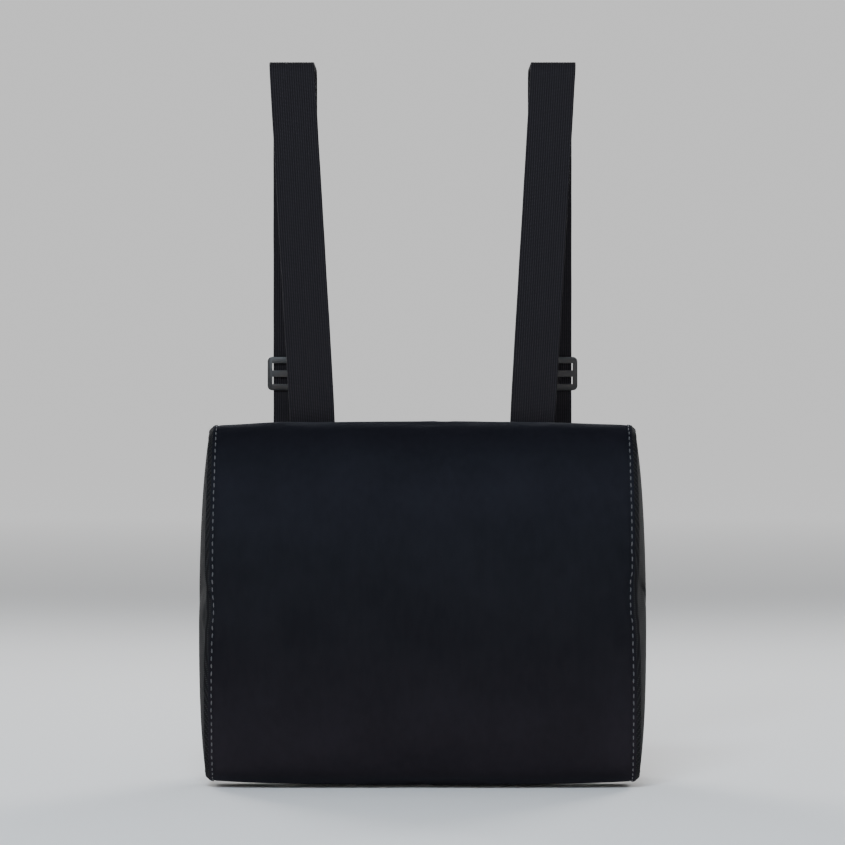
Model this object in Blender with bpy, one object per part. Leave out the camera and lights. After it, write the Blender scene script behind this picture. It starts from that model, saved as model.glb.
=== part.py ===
"""Lumbar support cushion with two elastic straps: the design, in metres, +Z up.

The origin is on the flat back of the cover, at the middle of the cushion's width and height. +Y points
backwards, at the backrest that the cushion is strapped to, and left and right are as seen from the front.
A foam core in a liner sits in a cover of five panels with a full-width zip in its back. Each strap leaves
the top seam, goes up the front of the backrest, back through a slot, down behind it through an adjuster
and a side-release buckle, and returns under the backrest to the bottom seam.
"""

import math

import bmesh
import bpy
import numpy as np

MM = 0.001
GAP = 0.3 * MM  # between pieces that touch

# ---- Cushion ----
BACK_TOP = 114.0 * MM  # upper end of the back, above the origin
BACK_BOTTOM = -115.0 * MM
CROWN_DEPTH = 95.0 * MM  # thickest part, front to back
TOP_EDGE = 121.0 * MM  # where the top and the upper front would meet if they weren't rounded
TOP_EDGE_DEPTH = 53.0 * MM
BOTTOM_EDGE = -120.6 * MM
BOTTOM_EDGE_DEPTH = 60.0 * MM
CROWN_TOP = 45.0 * MM  # height where the upper front turns into the crown
CROWN_BOTTOM = -48.0 * MM
TOP_RADIUS = 26.0 * MM
BOTTOM_RADIUS = 28.0 * MM
CROWN_RADIUS = 140.0 * MM
BACK_RADIUS = 6.0 * MM
FRONT_WIDTH = 280.0 * MM  # between the two side seams, halfway up
WIDTH_TAPER = 5.0 * MM  # how much wider it is at the bottom than at the top
SIDE_PULL = 0.09  # share of its depth that the section loses at the side seams
CORNER_DROOP = 2.4 * MM
COVER = 2.0 * MM
SIDE_BULGE = 4.0 * MM
STATIONS = 9  # sections along the width
ROUND_STEPS = 5

# ---- Filling ----
LINER = 0.8 * MM
FILL_GAP = 0.7 * MM  # between the cover, the liner and the foam
SEAM_ROOM = 14.0 * MM  # corner radius of the filling beside the strap ends
LINER_SLIT = 190.0 * MM
SLIT_WIDTH = 3.0 * MM
SLIT_HEIGHT = 30.0 * MM  # above the origin

# ---- Zip ----
ZIP_HEIGHT = -49.0 * MM
ZIP_SLOT = 10.0 * MM  # gap between the two back panels
TAPE_WIDTH = 12.0 * MM
TAPE = 0.6 * MM
TAPE_SPLIT = 1.3 * MM  # from the middle of the zip to each tape's edge
COIL_WIDTH = 2.6 * MM
COIL = 1.9 * MM
COIL_APART = 1.45 * MM  # from the middle of the zip to each closed coil's middle
COIL_SPREAD = 2.6 * MM  # the same, where the slider holds the coils apart
STOP_LENGTH = 3.0 * MM
STOP_ROOM = 1.0 * MM  # between the slider and a stop
SLIDER_LENGTH = 11.0 * MM
SLIDER_WIDTH = 9.2 * MM
SLIDER_PLATE = 1.0 * MM
FLANGE = 0.5 * MM
BRIDGE_HEIGHT = 3.2 * MM
BRIDGE_LENGTH = 7.4 * MM
BRIDGE_BAR = 1.0 * MM
BRIDGE_WIDTH = 2.2 * MM
PULLER_LENGTH = 30.0 * MM
PULLER_WIDTH = 6.4 * MM
PULLER = 1.6 * MM
PULLER_HOLE = 2.0 * MM

# ---- Straps ----
STRAP_WIDTH = 30.0 * MM
STRAP = 1.6 * MM
TOP_SPACING = 145.0 * MM  # between the two straps' middles where they leave the cushion
SLOT_SPACING = 174.0 * MM  # the same, at the backrest's slots and behind it
SLOT_HEIGHT = 357.0 * MM  # where the straps turn back through the backrest
FRONT_LEAN = 10.0 * MM  # how far back the front run is at the slots
REAR_RUN = 105.0 * MM  # from the cushion's back to the straps behind the backrest
SLOT_BEND = 10.0 * MM
UNDER_BEND = 14.0 * MM
STRAP_TAIL = 5.0 * MM  # sewn in, measured from the seam
LEAN_START = 11.0 * MM  # above the top seam, where a strap starts to lean back to the backrest
LEAN_END = 52.0 * MM
SEWN_LAP = 24.0 * MM
SEAM_BEND = 25.0 * MM  # how softly a strap turns as it leaves the top seam
LEAN_BEND = 60.0 * MM
UNDER_DROP = 0.35 * MM  # how far the sewn end of the lower strap sinks below its run
UNDER_START = 1.0 * MM  # behind the cushion's back, where that run is level
LAP_ROOM = 6.0 * MM  # from a bar to the sewn lap
LAP_BEND = 12.0 * MM
LAP_ENTRY = 5.0 * MM
RETURN_RISE = 12.0 * MM  # how far the strap's way back runs straight up from the plug's bar
RETURN_BEND = 30.0 * MM

# ---- Buckles and adjusters ----
FITTING_WIDTH = 38.0 * MM
BAR = 2.2 * MM  # thickness of a bar that webbing goes round
BAR_HEIGHT = 5.0 * MM
WEB_SLOT = 4.6 * MM
RAIL = 3.2 * MM
PLUG_BAR = 60.0 * MM  # height of the plug's webbing bar above the origin
PLUG_BASE = 7.0 * MM
SOCKET_LENGTH = 31.0 * MM
SOCKET_DEPTH = 9.4 * MM
SOCKET_WALL = 1.6 * MM
SOCKET_FLOOR = 2.6 * MM
MOUTH_WIDTH = 30.4 * MM
MOUTH_GAP = 0.5 * MM
WINDOW_TOP = 13.6 * MM  # below the socket's mouth
WINDOW_HEIGHT = 14.0 * MM
PRONG_LENGTH = 25.0 * MM
PRONG = 4.6 * MM
PRONG_ARM = 3.2 * MM
PRONG_PIVOT = 11.6 * MM  # from the buckle's middle
PRONG_LATCH = 17.8 * MM  # outer edge of the latch, from the buckle's middle
PRONG_WING = 18.8 * MM
TONGUE_WIDTH = 8.0 * MM
TONGUE = 2.6 * MM
TONGUE_LENGTH = 21.0 * MM
GLIDE_HEIGHT = 150.0 * MM
GLIDE_LENGTH = 23.0 * MM
GLIDE_BAR = 1.8 * MM
GLIDE_BAR_HEIGHT = 4.4 * MM

# ---- Places worked out from the sizes above ----
HALF_WIDTH = FRONT_WIDTH / 2
ZIP_TAPE_FACE = -(COVER + GAP)  # outer face of the zip's tapes
COIL_FACE = ZIP_TAPE_FACE + GAP + COIL
SLIDER_BACK = ZIP_TAPE_FACE - TAPE - GAP - SLIDER_PLATE  # the slider's innermost face
LINER_BACK = (GAP - SLIDER_BACK) / (1 - SIDE_PULL)  # clear depth behind the liner, for the slider
ZIP_END = HALF_WIDTH - 6.0 * MM
TOP_STOP_X = ZIP_END - STOP_LENGTH
SLIDER_X = TOP_STOP_X - STOP_ROOM - SLIDER_LENGTH / 2
SEAM_Y = -BACK_RADIUS  # middle of the strap in the top seam
BAR_Y = STRAP / 2 + GAP + BAR / 2  # middle of a webbing bar, behind the strap's middle
WRAP_RADIUS = BAR_Y
PLUG_BASE_TOP = PLUG_BAR - BAR_HEIGHT / 2 - WEB_SLOT
PLUG_BASE_END = PLUG_BASE_TOP - PLUG_BASE
SOCKET_MOUTH = PLUG_BASE_END - MOUTH_GAP
SOCKET_END = SOCKET_MOUTH - SOCKET_LENGTH
SOCKET_BAR = SOCKET_END - WEB_SLOT - BAR_HEIGHT / 2
PRONG_TOP = PLUG_BASE_END - GAP - PRONG_ARM / 2
GLIDE_TAIL_Y = STRAP + GAP  # middle of the sewn end, behind the strap
GLIDE_BAR_Y = GLIDE_TAIL_Y + STRAP / 2 + GAP + GLIDE_BAR / 2
GLIDE_FRONT_Y = -(STRAP / 2 + GAP + GLIDE_BAR / 2)

VELVET = ("velvet", (0.010, 0.011, 0.016), 0.9, 0.0)
SIDE_CLOTH = ("side_cloth", (0.012, 0.012, 0.013), 0.85, 0.0)
FOAM = ("foam", (0.55, 0.50, 0.36), 0.95, 0.0)
NON_WOVEN = ("non_woven", (0.75, 0.75, 0.72), 0.9, 0.0)
ELASTIC = ("elastic_webbing", (0.018, 0.017, 0.020), 0.75, 0.0)
ACETAL = ("black_acetal", (0.010, 0.010, 0.011), 0.4, 0.0)
NYLON = ("nylon_coil", (0.014, 0.014, 0.015), 0.45, 0.0)
TAPE_CLOTH = ("zip_tape", (0.013, 0.013, 0.014), 0.85, 0.0)
ZINC = ("dark_zinc", (0.06, 0.06, 0.065), 0.35, 1.0)


def clear_scene():
    for obj in list(bpy.data.objects):
        bpy.data.objects.remove(obj)


def material(finish):
    name, colour, roughness, metallic = finish
    made = bpy.data.materials.get(name)
    if made is None:
        made = bpy.data.materials.new(name)
        made.use_nodes = True
        shader = made.node_tree.nodes["Principled BSDF"]
        shader.inputs["Base Color"].default_value = (*colour, 1.0)
        shader.inputs["Roughness"].default_value = roughness
        shader.inputs["Metallic"].default_value = metallic
        made.diffuse_color = (*colour, 1.0)
    return made


def mesh_object(name, points, faces, finish, pivot=(0.0, 0.0, 0.0), smooth_below=30.0):
    """A named object from points in the part's frame, with its origin at pivot."""
    mesh = bpy.data.meshes.new(name)
    mesh.from_pydata((np.asarray(points) - np.asarray(pivot)).tolist(), [], faces)
    loose = bmesh.new()
    loose.from_mesh(mesh)
    bmesh.ops.recalc_face_normals(loose, faces=loose.faces)
    loose.to_mesh(mesh)
    loose.free()
    mesh.shade_smooth()
    mesh.set_sharp_from_angle(angle=math.radians(smooth_below))
    obj = bpy.data.objects.new(name, mesh)
    obj.location = pivot
    bpy.context.scene.collection.objects.link(obj)
    if finish is not None:
        mesh.materials.append(material(finish))
    return obj


def joint_empty(name, place):
    """An empty on a joint's axis, which carries the pieces that move with it."""
    empty = bpy.data.objects.new(name, None)
    empty.location = place
    empty.empty_display_size = 0.02
    bpy.context.scene.collection.objects.link(empty)
    return empty


def carry(empty, obj):
    obj.location = obj.location - empty.location
    obj.parent = empty


def boolean(target, tool, operation):
    """Cuts tool from target, or joins it on, and hides the tool."""
    tool.hide_render = True
    tool.display_type = "WIRE"
    step = target.modifiers.new(operation.lower() + "_" + tool.name, "BOOLEAN")
    step.operation = operation
    step.object = tool
    step.solver = "EXACT"


def bevel(obj, width, segments=2):
    step = obj.modifiers.new("edges", "BEVEL")
    step.width = width
    step.segments = segments
    step.limit_method = "ANGLE"
    step.angle_limit = math.radians(40)


# ---- Shapes ----


def arc(centre, start, end, steps):
    """Points from start to end round centre, in the plane that the three lie in."""
    a = np.asarray(start) - centre
    b = np.asarray(end) - centre
    turn = math.acos(np.clip(a @ b / (np.linalg.norm(a) * np.linalg.norm(b)), -1, 1))
    t = np.linspace(0, 1, steps + 1)[:, None]
    return centre + (np.sin((1 - t) * turn) * a + np.sin(t * turn) * b) / math.sin(turn)


def rounded(corners, closed, steps=ROUND_STEPS):
    """Points along a polyline of (point, radius) corners, each corner turned into an arc."""
    points = [np.asarray(p, float) for p, _ in corners]
    radii = [r for _, r in corners]
    path = []
    for i, here in enumerate(points):
        if not closed and i in (0, len(points) - 1):
            path.append(here[None])
            continue
        before = points[i - 1] - here
        after = points[(i + 1) % len(points)] - here
        before = before / np.linalg.norm(before)
        after = after / np.linalg.norm(after)
        half = math.acos(np.clip(before @ after, -1, 1)) / 2
        if radii[i] == 0:
            path.append(here[None])
            continue
        reach = radii[i] / math.tan(half)
        middle = (before + after) / np.linalg.norm(before + after)
        centre = here + middle * radii[i] / math.sin(half)
        path.append(arc(centre, here + before * reach, here + after * reach, steps))
    return np.concatenate(path)


def inset_corners(corners, insets):
    """Corners of a polygon, run so that its inside is on the left, with each side moved in by its inset.

    A side starts at the corner of the same number. Each corner's radius shrinks by the smaller inset.
    """
    count = len(corners)
    lines = []
    for i, (start, _) in enumerate(corners):
        along = np.subtract(corners[(i + 1) % count][0], start)
        along = along / np.linalg.norm(along)
        inward = np.array([-along[1], along[0]])
        lines.append((np.asarray(start) + inward * insets[i], along))
    moved = []
    for i in range(count):
        (p, u), (q, v) = lines[i - 1], lines[i]
        t = ((q[0] - p[0]) * v[1] - (q[1] - p[1]) * v[0]) / (u[0] * v[1] - u[1] * v[0])
        moved.append((p + u * t, max(corners[i][1] - min(insets[i - 1], insets[i]), 0.0)))
    return moved


def section_corners():
    """The cushion's side view as (y, z) corners with radii, from the top of the back, down and round."""
    return [
        ((0.0, BACK_TOP), BACK_RADIUS),
        ((-TOP_EDGE_DEPTH, TOP_EDGE), TOP_RADIUS),
        ((-CROWN_DEPTH, CROWN_TOP), CROWN_RADIUS),
        ((-CROWN_DEPTH, CROWN_BOTTOM), CROWN_RADIUS),
        ((-BOTTOM_EDGE_DEPTH, BOTTOM_EDGE), BOTTOM_RADIUS),
        ((0.0, BACK_BOTTOM), BACK_RADIUS),
    ]


def section(inset, back_inset, back_radius=None):
    """Closed outline of the cushion's side view, moved in by inset, and by back_inset at the back."""
    corners = section_corners()
    moved = inset_corners(corners, [inset] * (len(corners) - 1) + [back_inset])
    if back_radius is not None:
        moved[0] = (moved[0][0], back_radius)
        moved[-1] = (moved[-1][0], back_radius)
    return rounded(moved, closed=True)


def shaped(points):
    """Straight-sided stock turned into the cushion's shape: tapered, and shallower towards the sides."""
    x, y, z = np.asarray(points, float).T
    side = np.clip(np.abs(x) / HALF_WIDTH, 0, 1) ** 4
    up = z / TOP_EDGE
    return np.stack(
        [
            x * (1 - WIDTH_TAPER / FRONT_WIDTH * z / (TOP_EDGE - BOTTOM_EDGE)),
            y * (1 - SIDE_PULL * side),
            z - CORNER_DROOP * side * up**3 * np.clip(-y / TOP_EDGE_DEPTH, 0, 1),
        ],
        axis=1,
    )


def width_stations(half):
    """Places across the width, closer together towards the sides."""
    return half * np.sin(np.linspace(-math.pi / 2, math.pi / 2, STATIONS))


def grid_faces(rows, columns, first=0, closed=False):
    faces = []
    for r in range(rows - 1):
        for c in range(columns if closed else columns - 1):
            n = (c + 1) % columns
            a, b = first + r * columns, first + (r + 1) * columns
            faces.append((a + c, a + n, b + n, b + c))
    return faces


def loft(outline, stations):
    """Points and faces of a solid with the same (y, z) outline at each x, and flat ends."""
    rows, columns = len(stations), len(outline)
    points = [np.column_stack([np.full(columns, x), outline]) for x in stations]
    faces = grid_faces(rows, columns, closed=True)
    faces.append(tuple(range(columns)))
    faces.append(tuple(range((rows - 1) * columns, rows * columns)))
    return np.concatenate(points), faces


def wrapped_panel(outer, inner, stations):
    """A panel of cloth that follows a stretch of the section, between its outer and inner lines."""
    return loft(np.concatenate([outer, inner[::-1]]), stations)


def plate(outline, axis, low, high):
    """Points and faces of a flat plate with a 2D outline, between low and high along axis 0, 1 or 2."""
    count = len(outline)
    points = np.concatenate(
        [np.insert(outline, axis, level, axis=1) for level in (low, high)]
    )
    faces = grid_faces(2, count, closed=True)
    faces.append(tuple(range(count)))
    faces.append(tuple(range(count, 2 * count)))
    return points, faces


def box_shape(low, high):
    (x0, y0, z0), (x1, y1, z1) = low, high
    return plate(np.array([(x0, y0), (x1, y0), (x1, y1), (x0, y1)]), 2, z0, z1)


def rounded_box(x_range, z_range, radius):
    """Outline in (x, z) of a rectangle with rounded corners."""
    (x0, x1), (z0, z1) = x_range, z_range
    corners = [((x0, z0), radius), ((x1, z0), radius), ((x1, z1), radius), ((x0, z1), radius)]
    return rounded(corners, closed=True, steps=3)


def ribbon(path, width, thickness):
    """A flat band along a path, its width kept as near to +X as the path lets it."""
    path = np.asarray(path, float)
    along = np.gradient(path, axis=0)
    along = along / np.linalg.norm(along, axis=1)[:, None]
    across = np.array([1.0, 0.0, 0.0]) - along[:, :1] * along
    across = across / np.linalg.norm(across, axis=1)[:, None]
    out = np.cross(along, across)
    corners = [(-0.5, -0.5), (0.5, -0.5), (0.5, 0.5), (-0.5, 0.5)]
    ring = [path + across * (a * width) + out * (b * thickness) for a, b in corners]
    points = np.stack(ring, axis=1).reshape(-1, 3)
    faces = grid_faces(len(path), 4, closed=True)
    faces.append((0, 1, 2, 3))
    last = 4 * (len(path) - 1)
    faces.append((last, last + 1, last + 2, last + 3))
    return points, faces


def sided(side, shape):
    points, faces = shape
    return np.asarray(points) * (side, 1, 1), faces


# ---- Cover and filling ----


def cover_split():
    """Outer and inner lines of the front panel and of the back's rounded top corner."""
    outer, inner = section(0, 0), section(COVER, COVER)
    corner = ROUND_STEPS + 1
    front = (outer[ROUND_STEPS:], inner[ROUND_STEPS:])
    back_corner = (outer[:corner], inner[:corner])
    return front, back_corner


def shortened(line, start, end):
    """A line of points with a little taken off its ends, measured along it."""
    steps = np.linalg.norm(np.diff(line, axis=0), axis=1)
    length = np.concatenate([[0], np.cumsum(steps)])
    kept = length[(length > start) & (length < length[-1] - end)]
    wanted = np.concatenate([[start], kept, [length[-1] - end]])
    return np.column_stack([np.interp(wanted, length, line[:, k]) for k in (0, 1)])


def cover_panels():
    (outer, inner), (corner_outer, corner_inner) = cover_split()
    stations = width_stations(HALF_WIDTH)
    outer = shortened(outer, GAP / 2, GAP / 2)
    inner = shortened(inner, GAP / 2, GAP / 2)
    points, faces = wrapped_panel(outer, inner, stations)
    front = mesh_object("cover_front_panel", shaped(points), faces, VELVET)

    zip_top = ZIP_HEIGHT + ZIP_SLOT / 2
    zip_bottom = ZIP_HEIGHT - ZIP_SLOT / 2
    # The corner's lines run from the back plane forwards, so the panel starts at the zip.
    upper_outer = np.concatenate([[(0.0, zip_top)], corner_outer])
    upper_inner = np.concatenate([[(-COVER, zip_top)], corner_inner])
    upper_outer = shortened(upper_outer, 0, GAP / 2)
    upper_inner = shortened(upper_inner, 0, GAP / 2)
    points, faces = wrapped_panel(upper_outer, upper_inner, stations)
    upper = mesh_object("cover_back_upper", shaped(points), faces, SIDE_CLOTH)

    seam = section(0, 0)[-1][1] + GAP / 2
    lower = np.array([(0.0, zip_bottom), (-COVER, zip_bottom), (-COVER, seam), (0.0, seam)])
    points, faces = loft(lower, stations)
    lower = mesh_object("cover_back_lower", shaped(points), faces, SIDE_CLOTH)
    return front, upper, lower


def side_panel(name, side):
    """A D-shaped side of the cover, dished outwards, as rings that shrink towards the middle."""
    outline = section(0, 0)
    middle = np.array([-CROWN_DEPTH * 0.45, 0.0])
    shares = np.cos(np.linspace(0, math.pi / 2, 5))[:-1]
    shares = np.concatenate([shares, [0.12]])
    count = len(outline)
    start = HALF_WIDTH + GAP
    rings = []
    for thickness in (COVER, 0.0):
        for share in shares:
            out = start + thickness + SIDE_BULGE * (1 - share**2)
            flat = middle + (outline - middle) * share
            rings.append(np.column_stack([np.full(count, out), flat]))
    points = np.concatenate(rings)
    faces = grid_faces(len(shares), count, closed=True)
    faces += grid_faces(len(shares), count, first=len(shares) * count, closed=True)
    faces.append(tuple(range((len(shares) - 1) * count, len(shares) * count)))
    faces.append(tuple(range((2 * len(shares) - 1) * count, 2 * len(shares) * count)))
    inner = len(shares) * count
    for c in range(count):
        n = (c + 1) % count
        faces.append((c, n, inner + n, inner + c))
    return mesh_object(name, shaped(points) * (side, 1, 1), faces, SIDE_CLOTH)


def filling():
    """The foam core and the liner round it, which has a slit in its back to put the foam in."""
    skin = COVER + FILL_GAP
    wall = LINER + FILL_GAP
    outside = section(skin, LINER_BACK, SEAM_ROOM)
    inside = section(skin + LINER, LINER_BACK + LINER, SEAM_ROOM - LINER)
    foam = section(skin + wall, LINER_BACK + wall, SEAM_ROOM - wall)

    points, faces = loft(outside, width_stations(HALF_WIDTH - GAP))
    liner = mesh_object("foam_liner", shaped(points), faces, NON_WOVEN)
    points, faces = loft(inside, width_stations(HALF_WIDTH - GAP - LINER))
    hollow = mesh_object("liner_hollow", shaped(points), faces, None)
    boolean(liner, hollow, "DIFFERENCE")
    slit = rounded_box(
        (-LINER_SLIT / 2, LINER_SLIT / 2),
        (SLIT_HEIGHT, SLIT_HEIGHT + SLIT_WIDTH),
        SLIT_WIDTH * 0.45,
    )
    # The slit's cutter starts in the foam's space and ends behind the liner.
    points, faces = plate(slit, 1, -(LINER_BACK + wall), -LINER_BACK + GAP)
    boolean(liner, mesh_object("liner_slit", points, faces, None), "DIFFERENCE")

    points, faces = loft(foam, width_stations(HALF_WIDTH - GAP - wall))
    mesh_object("foam_core", shaped(points), faces, FOAM)


# ---- Zip ----


def zip_tape(name, up):
    near, far = TAPE_SPLIT * up, (TAPE_SPLIT + TAPE_WIDTH) * up
    end = HALF_WIDTH - GAP
    low = (-end, ZIP_TAPE_FACE - TAPE, ZIP_HEIGHT + min(near, far))
    high = (end, ZIP_TAPE_FACE, ZIP_HEIGHT + max(near, far))
    points, faces = box_shape(low, high)
    mesh_object(name, points, faces, TAPE_CLOTH)


def zip_coil(name, up):
    """One side of the chain: straight where it is closed, and spread where the slider holds it open."""
    start = -ZIP_END + STOP_LENGTH + GAP
    end = TOP_STOP_X - GAP
    route = [
        ((start, COIL_APART), 0.0),
        ((SLIDER_X - 3.0 * MM, COIL_APART), 8.0 * MM),
        ((SLIDER_X + 1.0 * MM, COIL_SPREAD), 8.0 * MM),
        ((end, COIL_SPREAD), 0.0),
    ]
    line = rounded(route, closed=False, steps=3)
    out = line + (0.0, COIL_WIDTH / 2)
    back = line - (0.0, COIL_WIDTH / 2)
    outline = np.concatenate([out, back[::-1]]) * (1, up) + (0.0, ZIP_HEIGHT)
    points, faces = plate(outline, 1, COIL_FACE - COIL, COIL_FACE)
    mesh_object(name, points, faces, NYLON)


def zip_stop(name, x, apart, width):
    low = (x, COIL_FACE - COIL, ZIP_HEIGHT + apart - width / 2)
    high = (x + STOP_LENGTH, COIL_FACE + GAP, ZIP_HEIGHT + apart + width / 2)
    points, faces = box_shape(low, high)
    mesh_object(name, points, faces, ZINC)


def zip_slider():
    """Two plates joined by a wedge between the coils, with flanges at the sides and a bridge on top."""
    top = COIL_FACE + GAP
    bottom = SLIDER_BACK + SLIDER_PLATE
    half, wide = SLIDER_LENGTH / 2, SLIDER_WIDTH / 2
    pivot = (SLIDER_X, top + SLIDER_PLATE + PULLER / 2 + GAP, ZIP_HEIGHT)
    carrier = joint_empty("zip_run", (SLIDER_X, 0.0, ZIP_HEIGHT))

    def outline(nose):
        """Wide at the end where the coils part, narrower at the other."""
        corners = [(-half, -wide * nose), (half, -wide), (half, wide), (-half, wide * nose)]
        placed = [((x + SLIDER_X, z + ZIP_HEIGHT), 1.2 * MM) for x, z in corners]
        return rounded(placed, closed=True, steps=3)

    shape = plate(outline(0.8), 1, top, top + SLIDER_PLATE)
    slider = mesh_object("zipper_slider", *shape, ZINC)
    lower = mesh_object("slider_lower", *plate(outline(0.8), 1, bottom - SLIDER_PLATE, bottom), None)
    boolean(slider, lower, "UNION")
    wedge = [(1.6 * MM, 0.0), (3.2 * MM, -0.9 * MM), (5.2 * MM, 0.0), (3.2 * MM, 0.9 * MM)]
    wedge = np.array(wedge) + (SLIDER_X, ZIP_HEIGHT)
    shape = plate(wedge, 1, bottom - SLIDER_PLATE / 2, top + SLIDER_PLATE / 2)
    boolean(slider, mesh_object("slider_wedge", *shape, None), "UNION")
    for up in (-1, 1):
        edges = sorted([(wide - FLANGE) * up, wide * up])
        low = (SLIDER_X + 0.5 * MM, ZIP_TAPE_FACE + GAP, ZIP_HEIGHT + edges[0])
        high = (SLIDER_X + half - 1.2 * MM, top + SLIDER_PLATE / 2, ZIP_HEIGHT + edges[1])
        flange = mesh_object(f"slider_flange_{up}", *box_shape(low, high), None)
        boolean(slider, flange, "UNION")
    crown = top + SLIDER_PLATE + BRIDGE_HEIGHT
    reach, bar = BRIDGE_LENGTH / 2, BRIDGE_BAR
    arch = [
        ((-reach, top + SLIDER_PLATE / 2), 0.0),
        ((reach, top + SLIDER_PLATE / 2), 0.0),
        ((reach, crown), 0.8 * MM),
        ((-reach, crown), 0.8 * MM),
    ]
    arch = rounded([((x + SLIDER_X, y), r) for (x, y), r in arch], closed=True, steps=2)
    shape = plate(arch, 2, ZIP_HEIGHT - BRIDGE_WIDTH / 2, ZIP_HEIGHT + BRIDGE_WIDTH / 2)
    boolean(slider, mesh_object("slider_bridge", *shape, None), "UNION")
    low = (SLIDER_X - reach + bar, top + SLIDER_PLATE, ZIP_HEIGHT - BRIDGE_WIDTH)
    high = (SLIDER_X + reach - bar, crown - bar, ZIP_HEIGHT + BRIDGE_WIDTH)
    boolean(slider, mesh_object("slider_bridge_hole", *box_shape(low, high), None), "DIFFERENCE")
    carry(carrier, slider)
    carry(carrier, zip_puller(pivot))


def zip_puller(pivot):
    """A flat tab whose two arms hold a cross pin under the slider's bridge."""
    px, py, pz = pivot
    wide = PULLER_WIDTH / 2
    shoulder = BRIDGE_LENGTH / 2 + 1.6 * MM
    outline = [
        ((px + PULLER / 2, pz - wide), 0.7 * MM),
        ((px + PULLER / 2, pz + wide), 0.7 * MM),
        ((px - PULLER_LENGTH, pz + wide), wide * 0.8),
        ((px - PULLER_LENGTH, pz - wide), wide * 0.8),
    ]
    outline = rounded(outline, closed=True, steps=4)
    shape = plate(outline, 1, py - PULLER / 2, py + PULLER / 2)
    puller = mesh_object("zipper_puller", *shape, ZINC, pivot=pivot)
    fork = BRIDGE_WIDTH / 2 + 0.4 * MM
    low = (px - shoulder, py - PULLER, pz - fork)
    high = (px - PULLER / 2, py + PULLER, pz + fork)
    boolean(puller, mesh_object("puller_fork", *box_shape(low, high), None), "DIFFERENCE")
    turn = np.linspace(0, 2 * math.pi, 17)[:-1]
    ring = np.column_stack([np.cos(turn), np.sin(turn)]) * PULLER_HOLE
    ring = ring * (1.6, 0.8) + (px - PULLER_LENGTH + 3 * PULLER_HOLE, pz)
    shape = plate(ring, 1, py - PULLER, py + PULLER)
    boolean(puller, mesh_object("puller_hole", *shape, None), "DIFFERENCE")
    return puller


def zipper():
    zip_tape("zipper_tape_upper", 1)
    zip_tape("zipper_tape_lower", -1)
    zip_coil("zipper_coil_upper", 1)
    zip_coil("zipper_coil_lower", -1)
    zip_stop("zipper_bottom_stop", -ZIP_END, 0.0, 2 * COIL_APART + COIL_WIDTH)
    zip_stop("zipper_top_stop_upper", TOP_STOP_X, COIL_SPREAD, COIL_WIDTH)
    zip_stop("zipper_top_stop_lower", TOP_STOP_X, -COIL_SPREAD, COIL_WIDTH)
    zip_slider()


# ---- Straps ----


def wrap_route(x, bar_z, up):
    """Half a turn of strap round a webbing bar, from the strap's front run to its back one.

    up is 1 where the strap comes from above and turns under the bar, and -1 the other way round.
    """
    turn_z = bar_z - up * (BAR_HEIGHT / 2 - GAP)
    t = np.linspace(0, math.pi, 9)
    y = REAR_RUN + WRAP_RADIUS - WRAP_RADIUS * np.cos(t)
    z = turn_z - up * WRAP_RADIUS * np.sin(t)
    return np.column_stack([np.full(len(t), x), y, z])


def upper_strap_route():
    top, rear = TOP_SPACING / 2, SLOT_SPACING / 2
    seam_z = BACK_TOP + SEAM_Y * (BACK_TOP - TOP_EDGE) / TOP_EDGE_DEPTH
    splay = (rear - top) / (SLOT_HEIGHT - seam_z)
    corners = [
        ((top - splay * STRAP_TAIL, SEAM_Y, seam_z - STRAP_TAIL), 0.0),
        ((top + splay * LEAN_START, SEAM_Y, seam_z + LEAN_START), SEAM_BEND),
        ((top + splay * LEAN_END, STRAP, seam_z + LEAN_END), LEAN_BEND),
        ((rear, FRONT_LEAN, SLOT_HEIGHT), SLOT_BEND),
        ((rear, REAR_RUN, SLOT_HEIGHT), SLOT_BEND),
        ((rear, REAR_RUN, PLUG_BAR), 0.0),
    ]
    wrap = wrap_route(rear, PLUG_BAR, 1)
    return np.concatenate([rounded(corners, closed=False)[:-1], wrap])


def lower_strap_route():
    rear = SLOT_SPACING / 2
    seam_z = BACK_BOTTOM + BACK_RADIUS
    corners = [
        ((rear, -STRAP_TAIL, seam_z - UNDER_DROP), 0.0),
        ((rear, UNDER_START, seam_z), 0.0),
        ((rear, REAR_RUN, seam_z), UNDER_BEND),
        ((rear, REAR_RUN, seam_z + 1.7 * UNDER_BEND), 0.0),
    ]
    return rounded(corners, closed=False)


def lower_end_route(start_z):
    """The end of the lower strap: up to the socket's bar, round it, and down to its sewn lap."""
    rear = SLOT_SPACING / 2
    wrap = wrap_route(rear, SOCKET_BAR, -1)
    lap_y = REAR_RUN + STRAP + GAP
    lap = [
        ((rear, wrap[-1][1], wrap[-1][2]), 0.0),
        ((rear, wrap[-1][1], SOCKET_BAR - BAR_HEIGHT / 2), LAP_ENTRY),
        ((rear, lap_y, SOCKET_BAR - BAR_HEIGHT - LAP_ROOM), LAP_BEND),
        ((rear, lap_y, SOCKET_BAR - BAR_HEIGHT - LAP_ROOM - SEWN_LAP), 0.0),
    ]
    lap = rounded(lap, closed=False, steps=3)[1:]
    return np.concatenate([[(rear, REAR_RUN, start_z)], wrap, lap])


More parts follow.
